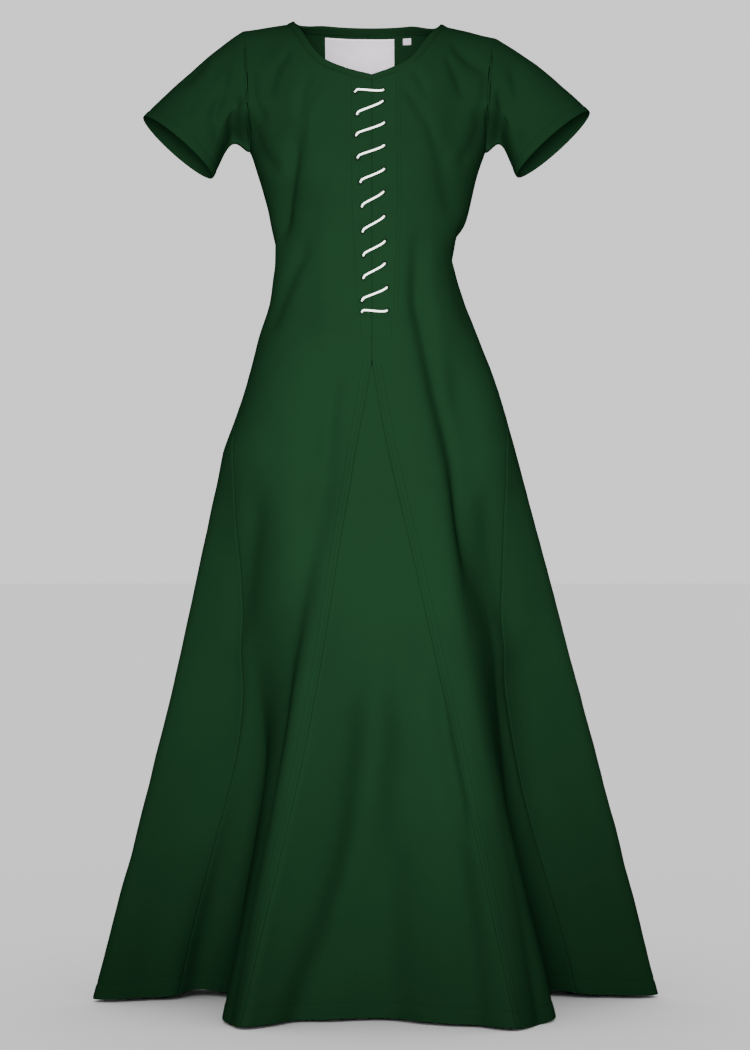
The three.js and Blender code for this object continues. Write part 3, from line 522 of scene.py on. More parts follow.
def front_neck(side, share, outward):
    """Places of the front neck edge, and directions from there into the panel."""
    points, length = neck_curve(side)
    ahead = along_line(share + NECK_REACH, length, points)
    behind = along_line(share - NECK_REACH, length, points)
    tangent = np.abs(ahead - behind)
    normal = unit(np.column_stack([outward * tangent[:, 1], -tangent[:, 0]]))
    start = 1 - smooth(share / NECK_START)[:, None]
    end = smooth((share - NECK_END["front"]) / (1 - NECK_END["front"]))[:, None]
    normal = mix(mix(normal, np.array([0, -1]), start), np.array([outward, 0]), end)
    return along_line(share, length, points), normal


def back_neck(side, share, outward):
    """Places of the back neck edge, and directions from there into the panel."""
    neck = SHOULDERS[side]["neck"]
    drop = smooth((share - BACK_NECK_SHARE) / (1 - BACK_NECK_SHARE))
    x = mix(BACK_NECK_MIDDLE[0], neck[0], share)
    z = mix(BACK_NECK_MIDDLE[1], neck[1], drop)
    bend = smooth((share - NECK_END["back"]) / (1 - NECK_END["back"]))
    return np.column_stack([x, z]), np.column_stack([outward * bend, bend - 1])


def neck_points(side, is_front, share, inward):
    """Places of the neck edge in x and z, moved into the panel by a distance."""
    share = np.atleast_1d(np.asarray(share, float))
    outward = -1 if side == "right" else 1
    neck = front_neck if is_front else back_neck
    edge, normal = neck(side, share, outward)
    x, z = (edge + unit(normal) * inward).T
    return x, np.where(share >= 0.999, shoulder_line(x), z)


def upper_rows(side, is_front, angles, ups):
    """Rows of one half panel above the armpit, each from the middle to the armhole."""
    share = np.abs(angles - (0 if is_front else 180))
    share = np.where(share > 180, 360 - share, share) / 90
    neck_share = NECK_SHARE["front" if is_front else "back"]
    on_neck = np.clip(share / neck_share, 0, 1)
    neck_x, neck_z = neck_points(side, is_front, on_neck, UNDER_BAND)
    along = np.clip((share - neck_share) / (1 - neck_share), 0, 1)
    top_x = mix(neck_x, SHOULDERS[side]["tip"][0], along)
    top_z = np.where(share <= neck_share, neck_z, shoulder_line(top_x))
    bottom_x = body_ring(angles, ARMPIT_Z)[:, 0]
    rows = []
    for up in ups:
        edge = armhole(side, up, is_front)
        x = mix(bottom_x, top_x, up)
        z = mix(ARMPIT_Z, top_z, up)
        x = x + (edge[0] - x[-1]) * share
        z = z + (edge[2] - z[-1]) * share
        lift = lift_of(x, z, is_front)
        lift = np.where((up >= 0.9999) & (share >= neck_share), 90.0, lift)
        points = upper(x, lift)
        points[-1] = edge
        rows.append((points, upper_normal(x, lift)))
    return rows


# Relief: creases, seams, stitch grooves and the cloth's own unevenness

# Each face by the axis that it looks along, its direction, and the axis across it
FACES = {"front": (1, -1, 0), "back": (1, 1, 0), "right": (0, -1, 1), "left": (0, 1, 1)}
FACE_WRAP = 1.6
CREASE_FADE = 0.25

# Slight waves of the cloth: height in millimetres, radians that the wave is bent by, the bending
# wave, and two waves that are multiplied. A wave is radians a metre along x, y and z, and a phase
UNEVEN_WAVES = [
    (0.7, 0, (0, 0, 0, 0), (23, 0, 9, 1.3), (0, 17, -12, 0)),
    (0.42, 0, (0, 0, 0, 0), (41, 8, -15, 0.4), (0, 0, 31, 2.1)),
    (0.26, 2, (0, 0, 9, 0), (78, 33, 0, 2.0), (0, 0, 52, 0.7)),
    (0.182, 3, (0, 21, 0, 0), (131, 0, -47, 0), (0, 37, 88, 1.9)),
]

# Ripples beside a seam: share of the height, length, share of the phase, radians that it is bent
# by, radians a metre of the bending wave, and its share of the phase
PUCKER_RIPPLES = [(1, 0.021, 1, 1.7, 19, 1), (0.6, 0.0133, 2.3, 2, 11, 0)]
PUCKER_HEIGHT = 0.28 * MM
PUCKER_REACH = 10 * MM

STRAIN_DEPTH = 0.55 * MM
STRAIN_HEIGHT = 5 * MM
STRAIN_LENGTH = 26 * MM
DENT_DEPTH = 0.5 * MM
DENT_WIDTH = 8 * MM
SEAM_DEPTH = 1.0 * MM
SEAM_WIDTH = 1.5 * MM


def distance_to_path(u, v, path):
    """Distance to a polyline, and the share of its length where it is nearest."""
    lengths = run_lengths(path)
    best = np.full(u.shape, np.inf)
    along = np.zeros(u.shape)
    for i in range(len(path) - 1):
        a = path[i]
        d = path[i + 1] - a
        t = np.clip(((u - a[0]) * d[0] + (v - a[1]) * d[1]) / (d @ d), 0, 1)
        distance = np.hypot(u - a[0] - t * d[0], v - a[1] - t * d[1])
        closer = distance < best
        best = np.where(closer, distance, best)
        along = np.where(closer, mix(lengths[i], lengths[i + 1], t) / lengths[-1], along)
    return best, along


def crease_depth(points, out):
    """How far the listed creases press the cloth in, in metres."""
    depth = np.zeros(points.shape[:-1])
    for face, width, amount, places in CREASES:
        toward, sign, across = FACES[face]
        path = np.array(places) * MM
        distance, along = distance_to_path(points[..., across], points[..., 2], path)
        fade = smooth(along / CREASE_FADE)
        if path[-1, 1] >= HEM_Z:
            fade = fade * smooth((1 - along) / CREASE_FADE)
        weight = smooth(out[..., toward] * sign * FACE_WRAP)
        depth += weight * fade * amount * MM * bell(distance, width * MM)
    return depth


def wave_angle(points, wave):
    return points @ np.array(wave[:3], float) + wave[3]


def unevenness(points):
    """The slight, irregular waviness of cloth that has been worn and pressed."""
    total = np.zeros(points.shape[:-1])
    for height, bend, bending, first, second in UNEVEN_WAVES:
        angle = wave_angle(points, first) + bend * np.sin(wave_angle(points, bending))
        total += height * MM * np.sin(angle) * np.sin(wave_angle(points, second))
    return total


def pucker(distance, along, phase):
    """Short ripples where a seam draws the cloth up, dying out a little way from it."""
    ripple = np.zeros(along.shape)
    for share, length, turn, bend, rate, bend_turn in PUCKER_RIPPLES:
        bent = bend * np.sin(rate * along + bend_turn * phase)
        ripple += share * np.sin(2 * math.pi * along / length + turn * phase + bent)
    return PUCKER_HEIGHT * ripple * bell(distance, PUCKER_REACH)


def lacing_pull(points):
    """The cloth is drawn in at each eyelet and strained a little beside it."""
    x, y, z = points[..., 0], points[..., 1], points[..., 2]
    depth = np.zeros(x.shape)
    for row in EYELETS:
        for side, (eye_x, eye_z) in zip((-1, 1), row):
            beside = (x - eye_x) * side
            strain = bell(z - eye_z, STRAIN_HEIGHT) * bell(np.maximum(beside, 0), STRAIN_LENGTH)
            depth += STRAIN_DEPTH * strain * (beside > -DENT_WIDTH)
            depth += DENT_DEPTH * bell(np.hypot(x - eye_x, z - eye_z), DENT_WIDTH)
    return depth * (y < 0)


def groove(distance, at, depth=0.35 * MM, width=1.1 * MM):
    return depth * bell(distance - at, width)


def seam_dip(distance):
    """The cloth turns under at a seam."""
    return SEAM_DEPTH * bell(distance, SEAM_WIDTH)


# Mesh building

ARMPIT_BLEND = 0.034
ARMPIT_PASSES = 60
KEPT_EDGE = 6 * MM
EDGE_BLEND = 24 * MM
EDGE_STEPS = np.array([0, 0.6, 1.4, 2.6, 4, 5, 6, 7.5, 9.5, 11, 12, 13, 14.5, 18]) * MM

# In a row that is shorter than this many edges, the edges are drawn together
SHORT_ROW = 2.6


def row_places(length, middle_count):
    """Distances along a row: close together at both edges, even in the middle."""
    near = EDGE_STEPS * min(1.0, length / (SHORT_ROW * EDGE_STEPS[-1]))
    middle = np.linspace(near[-1], length - near[-1], middle_count + 2)[1:-1]
    return np.concatenate([near, middle, (length - near)[::-1]])


def resampled(points, out, middle_count):
    """A dense row brought to the panel's columns, with distances from both edges."""
    length = run_lengths(points)
    places = row_places(length[-1], middle_count)
    row = along_line(places, length, points)
    return row, unit(along_line(places, length, out)), places, length[-1] - places


class Panel:
    """One piece of cloth as a grid of points, its outward directions and edge distances."""

    def __init__(self, rows, middle_count):
        parts = [resampled(points, out, middle_count) for points, out in rows]
        self.points, self.out, self.first, self.last = (np.array(part) for part in zip(*parts))
        down = np.linalg.norm(np.diff(self.points, axis=0), axis=2)
        self.down = np.concatenate([np.zeros((1, down.shape[1])), np.cumsum(down, axis=0)])
        self.base = self.points.copy()

    def blend_armpit(self, both_edges):
        """Evens out the turn where the upper body meets the rings below."""
        edge = np.minimum(self.first, self.last) if both_edges else self.last
        near = bell(self.points[..., 2] - ARMPIT_Z, ARMPIT_BLEND)
        share = (near * smooth((edge - KEPT_EDGE) / EDGE_BLEND))[1:-1, :, None] / 2
        for _ in range(ARMPIT_PASSES):
            middle = (self.points[:-2] + self.points[2:]) / 2
            self.points[1:-1] = mix(self.points[1:-1], middle, share)
            turned = unit(self.out[:-2] + self.out[2:])
            self.out[1:-1] = unit(mix(self.out[1:-1], turned, share))
        self.base = self.points.copy()

    def press(self, depth):
        self.points = self.points - self.out * depth[..., None]

    def line(self, distance, rows):
        """Points and outward directions at a distance from the first edge, in the chosen rows."""
        chosen = np.flatnonzero(rows)
        points = [along_line(distance, self.first[r], self.points[r]) for r in chosen]
        out = [along_line(distance, self.first[r], self.out[r]) for r in chosen]
        return np.array(points), np.array(out)


def mesh_object(name, vertices, faces, uvs=None):
    mesh = bpy.data.meshes.new(name)
    mesh.from_pydata([tuple(v) for v in vertices], [], [tuple(int(i) for i in f) for f in faces])
    mesh.update()
    for polygon in mesh.polygons:
        polygon.use_smooth = True
    if uvs is not None:
        layer = mesh.uv_layers.new(name="UVMap")
        loops = np.zeros(len(mesh.loops), int)
        mesh.loops.foreach_get("vertex_index", loops)
        layer.data.foreach_set("uv", np.asarray(uvs, np.float32)[loops].ravel())
    made = bpy.data.objects.new(name, mesh)
    bpy.context.scene.collection.objects.link(made)
    return made


def grid_faces(rows, columns, closed=False):
    """Four-sided faces between the points of a grid, joined round when closed."""
    wide = columns if closed else columns - 1
    r, c = np.meshgrid(np.arange(rows - 1), np.arange(wide), indexing="ij")
    after = (c + 1) % columns
    upper_row, lower_row = r * columns, (r + 1) * columns
    quads = [upper_row + c, lower_row + c, lower_row + after, upper_row + after]
    return np.stack(quads, axis=-1).reshape(-1, 4)


def facing(points, out, faces):
    """Turns the faces over where they don't face the outward direction."""
    a, b, c = (points[faces[:, k]] for k in range(3))
    facing_out = np.einsum("ij,ij->i", np.cross(b - a, c - a), out[faces[:, 0]]).sum() > 0
    return faces if facing_out else faces[:, ::-1]


def cloth(name, points, out, uvs, holes=(), closed=False, thickness=CLOTH):
    """A thin shell of cloth from a grid of points, with holes pierced where asked."""
    rows, columns = points.shape[:2]
    flat = points.reshape(-1, 3).copy()
    faces = facing(flat, out.reshape(-1, 3), grid_faces(rows, columns, closed))
    for x, z in holes:
        faces = pierced(flat, faces, x, z)
    made = mesh_object(name, flat, faces, uvs.reshape(-1, 2))
    shell = made.modifiers.new("cloth", "SOLIDIFY")
    shell.thickness = thickness
    shell.offset = -1
    shell.use_quality_normals = False
    return made


def pierced(flat, faces, x, z):
    """Takes out the faces inside a round hole and draws its rim onto the circle."""
    distance = np.hypot(flat[:, 0] - x, flat[:, 2] - z)
    distance = np.where(flat[:, 1] < 0, distance, 1)
    centre = distance[faces].mean(axis=1)
    inside = centre < EYELET_HOLE
    kept = faces[~inside]
    rim = np.intersect1d(faces[inside].ravel(), kept.ravel())
    scale = (EYELET_HOLE / np.maximum(distance[rim], 1e-6))[:, None]
    moved = np.array([[x, z]]) + (flat[rim][:, [0, 2]] - np.array([[x, z]])) * scale
    flat[rim, 0] = moved[:, 0]
    flat[rim, 2] = moved[:, 1]
    return kept


def tube(name, path, radius, sides, ribs):
    """A closed tube along a path; ribs gives the share that its radius grows by, from the
    angles round it and the length along it."""
    tangent = unit(np.gradient(path, axis=0))
    side = unit(np.cross(tangent[0], [0.3, 0.2, 1.0]))
    angles = np.arange(sides) * 2 * math.pi / sides
    length = run_lengths(path)
    rings = []
    for point, t, s in zip(path, tangent, length):
        side = unit(side - t * (side @ t))
        r = radius * (1 + ribs(angles, s))
        across = np.outer(np.cos(angles) * r, side)
        rings.append(point + across + np.outer(np.sin(angles) * r, np.cross(t, side)))
    vertices = np.concatenate([*rings, path[:1], path[-1:]])
    faces = [tuple(f) for f in grid_faces(len(path), sides, closed=True)]
    start, end = len(vertices) - 2, len(vertices) - 1
    last = (len(path) - 1) * sides
    faces += [(start, i, (i + 1) % sides) for i in range(sides)]
    faces += [(end, last + (i + 1) % sides, last + i) for i in range(sides)]
    uvs = [(k / sides, s) for s in length for k in range(sides)] + [(0, 0), (0, length[-1])]
    return mesh_object(name, vertices, faces, np.array(uvs))


STITCH = 3.0 * MM
STITCH_GAP = 0.9 * MM
STITCH_LIFT = 0.05 * MM
THREAD = 0.24 * MM

# Sections of one stitch: share of its length, and its width and rise in thread radii
STITCH_SECTIONS = np.array([
    (0, 0.35, -0.9), (0.18, 0.95, 0.1), (0.5, 1.0, 0.45), (0.82, 0.95, 0.1), (1, 0.35, -0.9),
])


def stitch_run(points, out):
    """Vertices and faces of a row of machine stitches along a line on the cloth."""
    length = run_lengths(points)
    shares, widths, rises = STITCH_SECTIONS.T
    starts = np.arange(0, length[-1] - STITCH, STITCH + STITCH_GAP)
    at = starts[:, None] + shares * STITCH
    spine = along_line(at, length, points)
    up = unit(along_line(at, length, out))
    side = unit(np.cross(up, unit(spine[:, -1:] - spine[:, :1]) + 0 * up))
    width = (widths * THREAD)[:, None]
    centre = spine + up * (rises * THREAD + STITCH_LIFT)[:, None]
    corners = [centre + side * width, centre + up * width, centre - side * width, centre - up * width]
    vertices = np.stack(corners, axis=2).reshape(-1, 3)
    pattern = []
    for ring in range(len(shares) - 1):
        for k in range(4):
            a, b = ring * 4 + k, ring * 4 + (k + 1) % 4
            pattern.append((a, b, b + 4, a + 4))
    last = (len(shares) - 1) * 4
    pattern += [(3, 2, 1, 0), (last, last + 1, last + 2, last + 3)]
    faces = np.array(pattern) + (np.arange(len(starts)) * len(shares) * 4)[:, None, None]
    return vertices, faces.reshape(-1, 4)


def joined(name, parts):
    """One mesh from many parts, each with its vertices and faces."""
    counts = np.cumsum([0] + [len(vertices) for vertices, _ in parts])
    faces = [part_faces + count for (_, part_faces), count in zip(parts, counts)]
    return mesh_object(name, np.concatenate([part[0] for part in parts]), np.concatenate(faces))


# Materials

BROAD_TONE = {"Scale": 5.5, "Detail": 5, "Roughness": 0.6}
NAP = {"Scale": 420, "Detail": 3}
NAP_TONE = 0.45
RIB_TONE = 0.08
NAP_RELIEF = 0.9
RIB_RELIEF = 0.35
# Share of its colour that thread keeps in its hollows, where shade is painted in
THREAD_NOISE = {"Scale": 900}
THREAD_HOLLOW_SHADE = 0.78
LABEL_NOISE = {"Scale": 60}
LABEL_RIBS = 9000


def new_material(name):
    made = bpy.data.materials.new(name)
    made.use_nodes = True
    return made, made.node_tree, made.node_tree.nodes["Principled BSDF"].inputs


def feed(tree, inputs, values):
    """Sets sockets to values, or links them where the value is another node's output."""
    for name, value in values.items():
        if isinstance(value, bpy.types.NodeSocket):
            tree.links.new(value, inputs[name])
        else:
            inputs[name].default_value = value


def add_node(tree, kind, values, **settings):
    node = tree.nodes.new(f"ShaderNode{kind}")
    for name, value in settings.items():
        setattr(node, name, value)
    feed(tree, node.inputs, values)
    return node.outputs


def math_node(tree, operation, *values):
    return add_node(tree, "Math", dict(enumerate(values)), operation=operation)[0]


def noise(tree, values):
    """A noise that is fixed to the object."""
    place = add_node(tree, "TexCoord", {})["Object"]
    return add_node(tree, "TexNoise", {"Vector": place, **values})["Fac"]


def cloth_place(tree):
    """Metres across and down the piece of cloth."""
    uv = add_node(tree, "UVMap", {}, uv_map="UVMap")["UV"]
    return add_node(tree, "SeparateXYZ", {0: uv})


def surface(tree, shader, tone, colours, relief, strength, height):
    """Gives a shader its colour, mixed from two by the tone, and its relief."""
    parts = {"Factor": tone, "A": colours[0], "B": colours[1]}
    colour = add_node(tree, "Mix", parts, data_type="RGBA")["Result"]
    bump = add_node(tree, "Bump", {"Strength": strength, "Distance": height, "Height": relief})
    feed(tree, shader, {"Base Color": colour, "Normal": bump["Normal"]})


def srgb(red, green, blue):
    values = [v / 255 for v in (red, green, blue)]
    return [v / 12.92 if v <= 0.04045 else ((v + 0.055) / 1.055) ** 2.4 for v in values] + [1]


def twill_material(name, dark, light, rib):
    """Cotton twill: fine diagonal ribs, a soft nap and slight, broad changes of tone."""
    made, tree, shader = new_material(name)
    place = cloth_place(tree)
    slant = math_node(tree, "ADD", place["X"], place["Y"])
    ribs = math_node(tree, "SINE", math_node(tree, "MULTIPLY", slant, 2 * math.pi / rib))
    nap = noise(tree, NAP)
    napped = math_node(tree, "ADD", noise(tree, BROAD_TONE), math_node(tree, "MULTIPLY", nap, NAP_TONE))
    tone = math_node(tree, "ADD", napped, math_node(tree, "MULTIPLY", ribs, RIB_TONE))
    raised = math_node(tree, "MULTIPLY", ribs, RIB_RELIEF)
    relief_height = math_node(tree, "ADD", raised, math_node(tree, "MULTIPLY", nap, NAP_RELIEF))
    surface(tree, shader, tone, (dark, light), relief_height, strength=0.35, height=0.4 * MM)
    feed(tree, shader, {"Roughness": 0.86, "Specular IOR Level": 0})
    return made


def thread_material(name, colour, gloss):
    """Twisted cotton thread or cord, with painted shade that darkens it in its hollows."""
    made, tree, shader = new_material(name)
    fibres_and_hollow_shade = noise(tree, THREAD_NOISE)
    # Painted shade: the colour darkens where the fibre relief is low, in the hollows of the twist
    dark = [c * THREAD_HOLLOW_SHADE for c in colour[:3]] + [1]
    surface(tree, shader, fibres_and_hollow_shade, (dark, colour), fibres_and_hollow_shade, strength=0.4, height=0.3 * MM)
    feed(tree, shader, {"Roughness": 0.8, "Specular IOR Level": gloss})
    return made


def label_material(dark, light):
    """Plain woven satin: fine cross ribs and slight changes of tone."""
    made, tree, shader = new_material("label_satin")
    ribs = math_node(tree, "SINE", math_node(tree, "MULTIPLY", cloth_place(tree)["Y"], LABEL_RIBS))
    tone = noise(tree, LABEL_NOISE)
    surface(tree, shader, tone, (dark, light), ribs, strength=0.2, height=0.2 * MM)
    feed(tree, shader, {"Roughness": 0.5})
    return made


TWILL = twill_material("green_twill", srgb(10, 27, 14), srgb(12, 33, 18), rib=1.1 * MM)
BINDING = twill_material("green_binding", srgb(10, 26, 14), srgb(12, 32, 17), rib=0.9 * MM)
# Thread and cord carry painted shade in their hollows
GREEN_THREAD = thread_material("green_thread", srgb(7, 25, 12), 0.04)
WHITE_CORD = thread_material("white_cord", srgb(240, 243, 238), 0.3)
SATIN = label_material(srgb(160, 151, 159), srgb(182, 173, 181))


def finish_piece(made, finish, node=None):
    made.data.materials.append(finish)
    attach(made, BODY)
    if node:
        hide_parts(node)


# Panels

DENSE = 260
UPPER_UPS = np.linspace(1, 0, 56)
FRONT_COLUMNS = 52
BACK_COLUMNS = 100

# Rows below the armpits: where the lacing ends, the steps over the lacing, above the hip and
# down the skirt, and the hem with its own rows, by their height above its edge
LACED_END_Z = -0.452
LACED_STEP = 0.0035
UPPER_STEP = 0.006
SKIRT_STEP = 0.0085
HEM_BAND = 0.030
HEM_ROWS = np.array([27, 24, 22, 20, 17, 12, 7, 4, 2, 0.8, 0]) * MM

ARMHOLE_EASE = 0.88
SEAM_BLEND = 0.02
SEAM_STITCHES = (5 * MM, 12 * MM)
HEM_STITCH = 22 * MM
HEM_RELIEF = 0.5 * MM
HEM_ROUNDING = 3 * MM
GORE_TIP = 4 * MM
GORE_START = 6 * MM


def below_rows():
    """Levels of the rows below the armpit: close together over the lacing, wider in the skirt."""
    laced = np.arange(ARMPIT_Z, LACED_END_Z, -LACED_STEP)[1:]
    above_hip = np.arange(laced[-1], HIP_Z, -UPPER_STEP)[1:]
    skirt = np.arange(above_hip[-1], HEM_Z + HEM_BAND, -SKIRT_STEP)[1:]
    return np.concatenate([laced, above_hip, skirt, HEM_Z + HEM_ROWS])


LEVELS = below_rows()


def relief(panel, first_stitches=(), phase=0.0, closed_behind=False):
    """Presses creases, seams, stitch lines and the hem into a panel."""
    base = panel.base
    depth = crease_depth(base, panel.out) + unevenness(base) + lacing_pull(base)
    round_armhole = ARMHOLE_EASE * smooth((base[..., 2] - ARMPIT_Z) / SEAM_BLEND)
    depth += seam_dip(panel.last) * (1 - round_armhole)
    depth += seam_dip(panel.first) * (1 - round_armhole * closed_behind)
    sewn = smooth((GORE_APEX_Z - base[..., 2]) / SEAM_BLEND)
    depth += pucker(panel.first, panel.down, phase) * sewn
    depth += pucker(panel.last, panel.down, phase + 1.1) * sewn
    for at in first_stitches:
        depth += groove(panel.first, at) * sewn
    above = base[..., 2] - HEM_Z
    depth += groove(above, HEM_STITCH, depth=HEM_RELIEF, width=2 * MM)
    depth -= HEM_RELIEF * smooth((HEM_STITCH - above) / HEM_ROUNDING) * smooth(above / HEM_ROUNDING)
    panel.press(depth)


def panel_uvs(panel):
    middle = panel.first.shape[1] // 2
    across = panel.first - panel.first[:, middle:middle + 1]
    return np.stack([across, -panel.down], axis=-1)


def panel_cloth(name, panel, node, holes=()):
    made = cloth(name, panel.points, panel.out, panel_uvs(panel), holes)
    finish_piece(made, TWILL, node)
    return made, panel


def front_panel(side):
    around = np.linspace(around_of(f"gore_seam_{side}"), around_of(f"side_front_{side}"), DENSE)
    rows = upper_rows(side, True, angles_at(around, ARMPIT_Z), UPPER_UPS)
    rows += [skirt_row(around, z) for z in LEVELS]
    panel = Panel(rows, FRONT_COLUMNS)
    panel.blend_armpit(both_edges=False)
    relief(panel, first_stitches=SEAM_STITCHES, phase=-1 if side == "right" else 1)
    holes = [row[0 if side == "right" else 1] for row in EYELETS]
    return panel_cloth(f"front_{side}_cloth", panel, f"front_{side}", holes)


def back_half(side):
    """Rows of one half of the back above the armpit, from its middle to the armhole."""
    around = np.linspace(around_of("back_middle"), around_of(f"side_back_{side}"), DENSE)
    return upper_rows(side, False, angles_at(around, ARMPIT_Z), UPPER_UPS)


def back_panel():
    around = np.linspace(around_of("side_back_right"), around_of("side_back_left"), 2 * DENSE - 1)
    rows = []
    for right, left in zip(back_half("right"), back_half("left")):
        rows.append([np.concatenate([r[::-1], l[1:]]) for r, l in zip(right, left)])
    rows += [skirt_row(around, z) for z in LEVELS]
    panel = Panel(rows, BACK_COLUMNS)
    panel.blend_armpit(both_edges=True)
    relief(panel, closed_behind=True)
    return panel_cloth("back_cloth", panel, "back")


def gore(node, first, last, apex, columns):
    around = np.linspace(first, last, DENSE)
    levels = np.concatenate([[apex - GORE_TIP], LEVELS[LEVELS < apex - GORE_START]])
    panel = Panel([skirt_row(around, z) for z in levels], columns)
    relief(panel)
    return panel_cloth(f"{node}_cloth", panel, node)


# Sleeves

SLEEVE_TURNS = np.arange(144) / 144
SLEEVE_ALONGS = np.concatenate([
    [0, 0.006, 0.014, 0.03], np.linspace(0.05, 0.86, 26),
    [0.885, 0.905, 0.92, 0.935, 0.955, 0.975, 0.988, 0.996, 1],
])
UNDERARM_LIFT = 0.028
TUCK = 5 * MM
TUCK_DROP = 2.5 * MM
CUFF_HEM = 13 * MM
CUFF_GROOVE = {"depth": 0.5 * MM, "width": 1.8 * MM}
CUFF_RELIEF = 0.45 * MM
CUFF_ROUNDING = 2 * MM

# How high each turn lies between the underarm, 0, and the top of the arm, 1
SLEEVE_TOP = 0.5 - 0.5 * np.cos(SLEEVE_TURNS * 2 * math.pi)


def cuff(side):
    """The ring of the cuff, from the underarm round by the front."""
    ends = CUFFS[side]
    top, bottom = (np.array([ends[end][0], 0, ends[end][1]]) for end in ("top", "bottom"))
    middle, half = (top + bottom) / 2, (top - bottom) / 2
    up_arm = unit(np.cross([0, 1, 0], half)) * (1 if side == "right" else -1)
    angle = (SLEEVE_TURNS * 2 * math.pi)[:, None]
    forward = CUFF_LEAN * up_arm - CUFF_HALF_DEPTH * np.array([0, 1, 0])
    return middle - np.cos(angle) * half + np.sin(angle) * forward


def sleeve_grid(side):
    front = SLEEVE_TURNS <= 0.5
    share = np.where(front, SLEEVE_TURNS * 2, (1 - SLEEVE_TURNS) * 2)
    start = np.where(front[:, None], armhole(side, share, True), armhole(side, share, False))
    end = cuff(side)
    rows = [tucked_ring(start)]
    for along in SLEEVE_ALONGS:
        row = mix(start, end, along)
        row[:, 2] += SLEEVE_BULGE * 4 * along * (1 - along) * SLEEVE_TOP
        row[:, 2] += UNDERARM_LIFT * math.sin(math.pi * along) ** 1.5 * (1 - SLEEVE_TOP) ** 1.6
        rows.append(row)
    return np.array(rows)


def tucked_ring(seam_ring):
    """The sleeve's seam allowance, turned inside the body."""
    inward = unit(-seam_ring * [1, 1, 0])
    return seam_ring + inward * TUCK - np.outer(SLEEVE_TOP, [0, 0, TUCK_DROP])


def sleeve_out(points, across):
    out = unit(np.cross(across, np.gradient(points, axis=0)))
    from_middle = points - points.mean(axis=1, keepdims=True)
    return out if (out * from_middle).sum() > 0 else -out


def cuff_line(shaped, out, to_cuff):
    """The stitch line round the cuff, on the finished sleeve."""
    rings = np.arange(len(shaped))[::-1]
    line = [np.interp(CUFF_HEM, distances[::-1], rings) for distances in to_cuff.T]
    index = np.array(line + line[:1])
    columns = np.append(np.arange(len(line)), 0)
    low = np.floor(index).astype(int)
    share = (index - low)[:, None]
    return mix(shaped[low, columns], shaped[low + 1, columns], share), out[low, columns]


def sleeve(side):
    points = sleeve_grid(side)
    across = np.roll(points, -1, axis=1) - np.roll(points, 1, axis=1)
    out = sleeve_out(points, across)
    lengths = np.linalg.norm(np.diff(points, axis=0), axis=2)
    from_seam = np.concatenate([-lengths[:1], np.cumsum(lengths, axis=0) - lengths[:1]])
    to_cuff = from_seam[-1:] - from_seam
    depth = crease_depth(points, out) + unevenness(points)
    depth += seam_dip(from_seam) * (1 - ARMHOLE_EASE) * (from_seam >= 0)
    depth += groove(to_cuff, CUFF_HEM, **CUFF_GROOVE)
    turned_up = smooth((CUFF_HEM - to_cuff) / HEM_ROUNDING) * smooth(to_cuff / CUFF_ROUNDING)
    depth -= CUFF_RELIEF * turned_up
    shaped = points - out * depth[..., None]
    girth = np.linalg.norm(across, axis=2) / 2
    uvs = np.stack([np.cumsum(girth, axis=1), -from_seam], axis=-1)
    made = cloth(f"sleeve_{side}_cloth", shaped, out, uvs, closed=True)
    finish_piece(made, TWILL, f"sleeve_{side}")
    return made, cuff_line(shaped, out, to_cuff)


# The binding round the neck, folded over the panels' raw edge

# Distance from the neck edge and height above the panel's face, in millimetres
BINDING_SECTION = [
    (10.0, 0.15), (9.3, 0.75), (8.0, 0.55), (5.0, 0.95), (2.0, 1.0), (0.4, 0.6), (-0.5, -0.6),
    (0.4, -2.0), (2.0, -2.5), (5.0, -2.5), (8.0, -2.3), (9.6, -2.3), (10.2, -1.9),
]
BINDING_STITCH = 8 * MM
BINDING_STITCH_RISE = 0.6 * MM
NECK_POINT_RISE = 3.5 * MM
NECK_POINT_WIDTH = 10 * MM
NECK_STATIONS = {"front": 70, "back": 60}


def neck_stations():
    """Places round the neck, from the centre front by the wearer's right and back to it."""
    ahead = np.linspace(0, 1, NECK_STATIONS["front"])
    behind = np.linspace(0, 1, NECK_STATIONS["back"])
    stations = [("right", True, t) for t in ahead]
    stations += [("right", False, t) for t in behind[:-1][::-1]]
    stations += [("left", False, t) for t in behind[1:]]
    stations += [("left", True, t) for t in ahead[:-1][::-1]]
    return stations


def neck_row(inward):
    points, out = [], []
    for side, is_front, t in neck_stations():
        x, z = neck_points(side, is_front, t, inward)
        lift = np.array([90.0]) if t >= 0.999 else lift_of(x, z, is_front)
        points.append(upper(x, lift)[0])
        out.append(upper_normal(x, lift)[0])
    return np.array(points), np.array(out)


def neck_point_rise(points):
    """The band's ends stand up where they meet the shoulder seams."""
    rise = np.zeros(len(points))
    for side in SHOULDERS:
        x, z = SHOULDERS[side]["neck"]
        away = np.linalg.norm(points - [x, 0, z], axis=1)
        rise += NECK_POINT_RISE * np.exp(-(away / NECK_POINT_WIDTH) ** 2)
    return rise[:, None] * [0, 0, 1]


def binding():
    rows = []
    for inward, height in BINDING_SECTION:
        points, out = neck_row(max(inward, 0) * MM)
        if inward < 0:
            further, _ = neck_row(1 * MM)
            points = points + (points - further) * -inward
        rows.append(points + out * height * MM + neck_point_rise(points))
    ring, columns = len(rows), len(rows[0])
    faces = []
    for r in range(ring):
        for c in range(columns - 1):
            a, b = r * columns + c, (r + 1) % ring * columns + c
            faces.append((a, b, b + 1, a + 1))
    faces.append(tuple(r * columns for r in range(ring)))
    faces.append(tuple(r * columns + columns - 1 for r in reversed(range(ring))))
    lengths = run_lengths(rows[0])
    uvs = np.array([(s, inward * MM) for inward, _ in BINDING_SECTION for s in lengths])
    made = mesh_object("neck_binding_cloth", np.concatenate(rows), faces, uvs)
    finish_piece(made, BINDING, "neck_binding")
    points, out = neck_row(BINDING_STITCH)
    return made, (points + out * BINDING_STITCH_RISE, out)


# Lace and eyelets

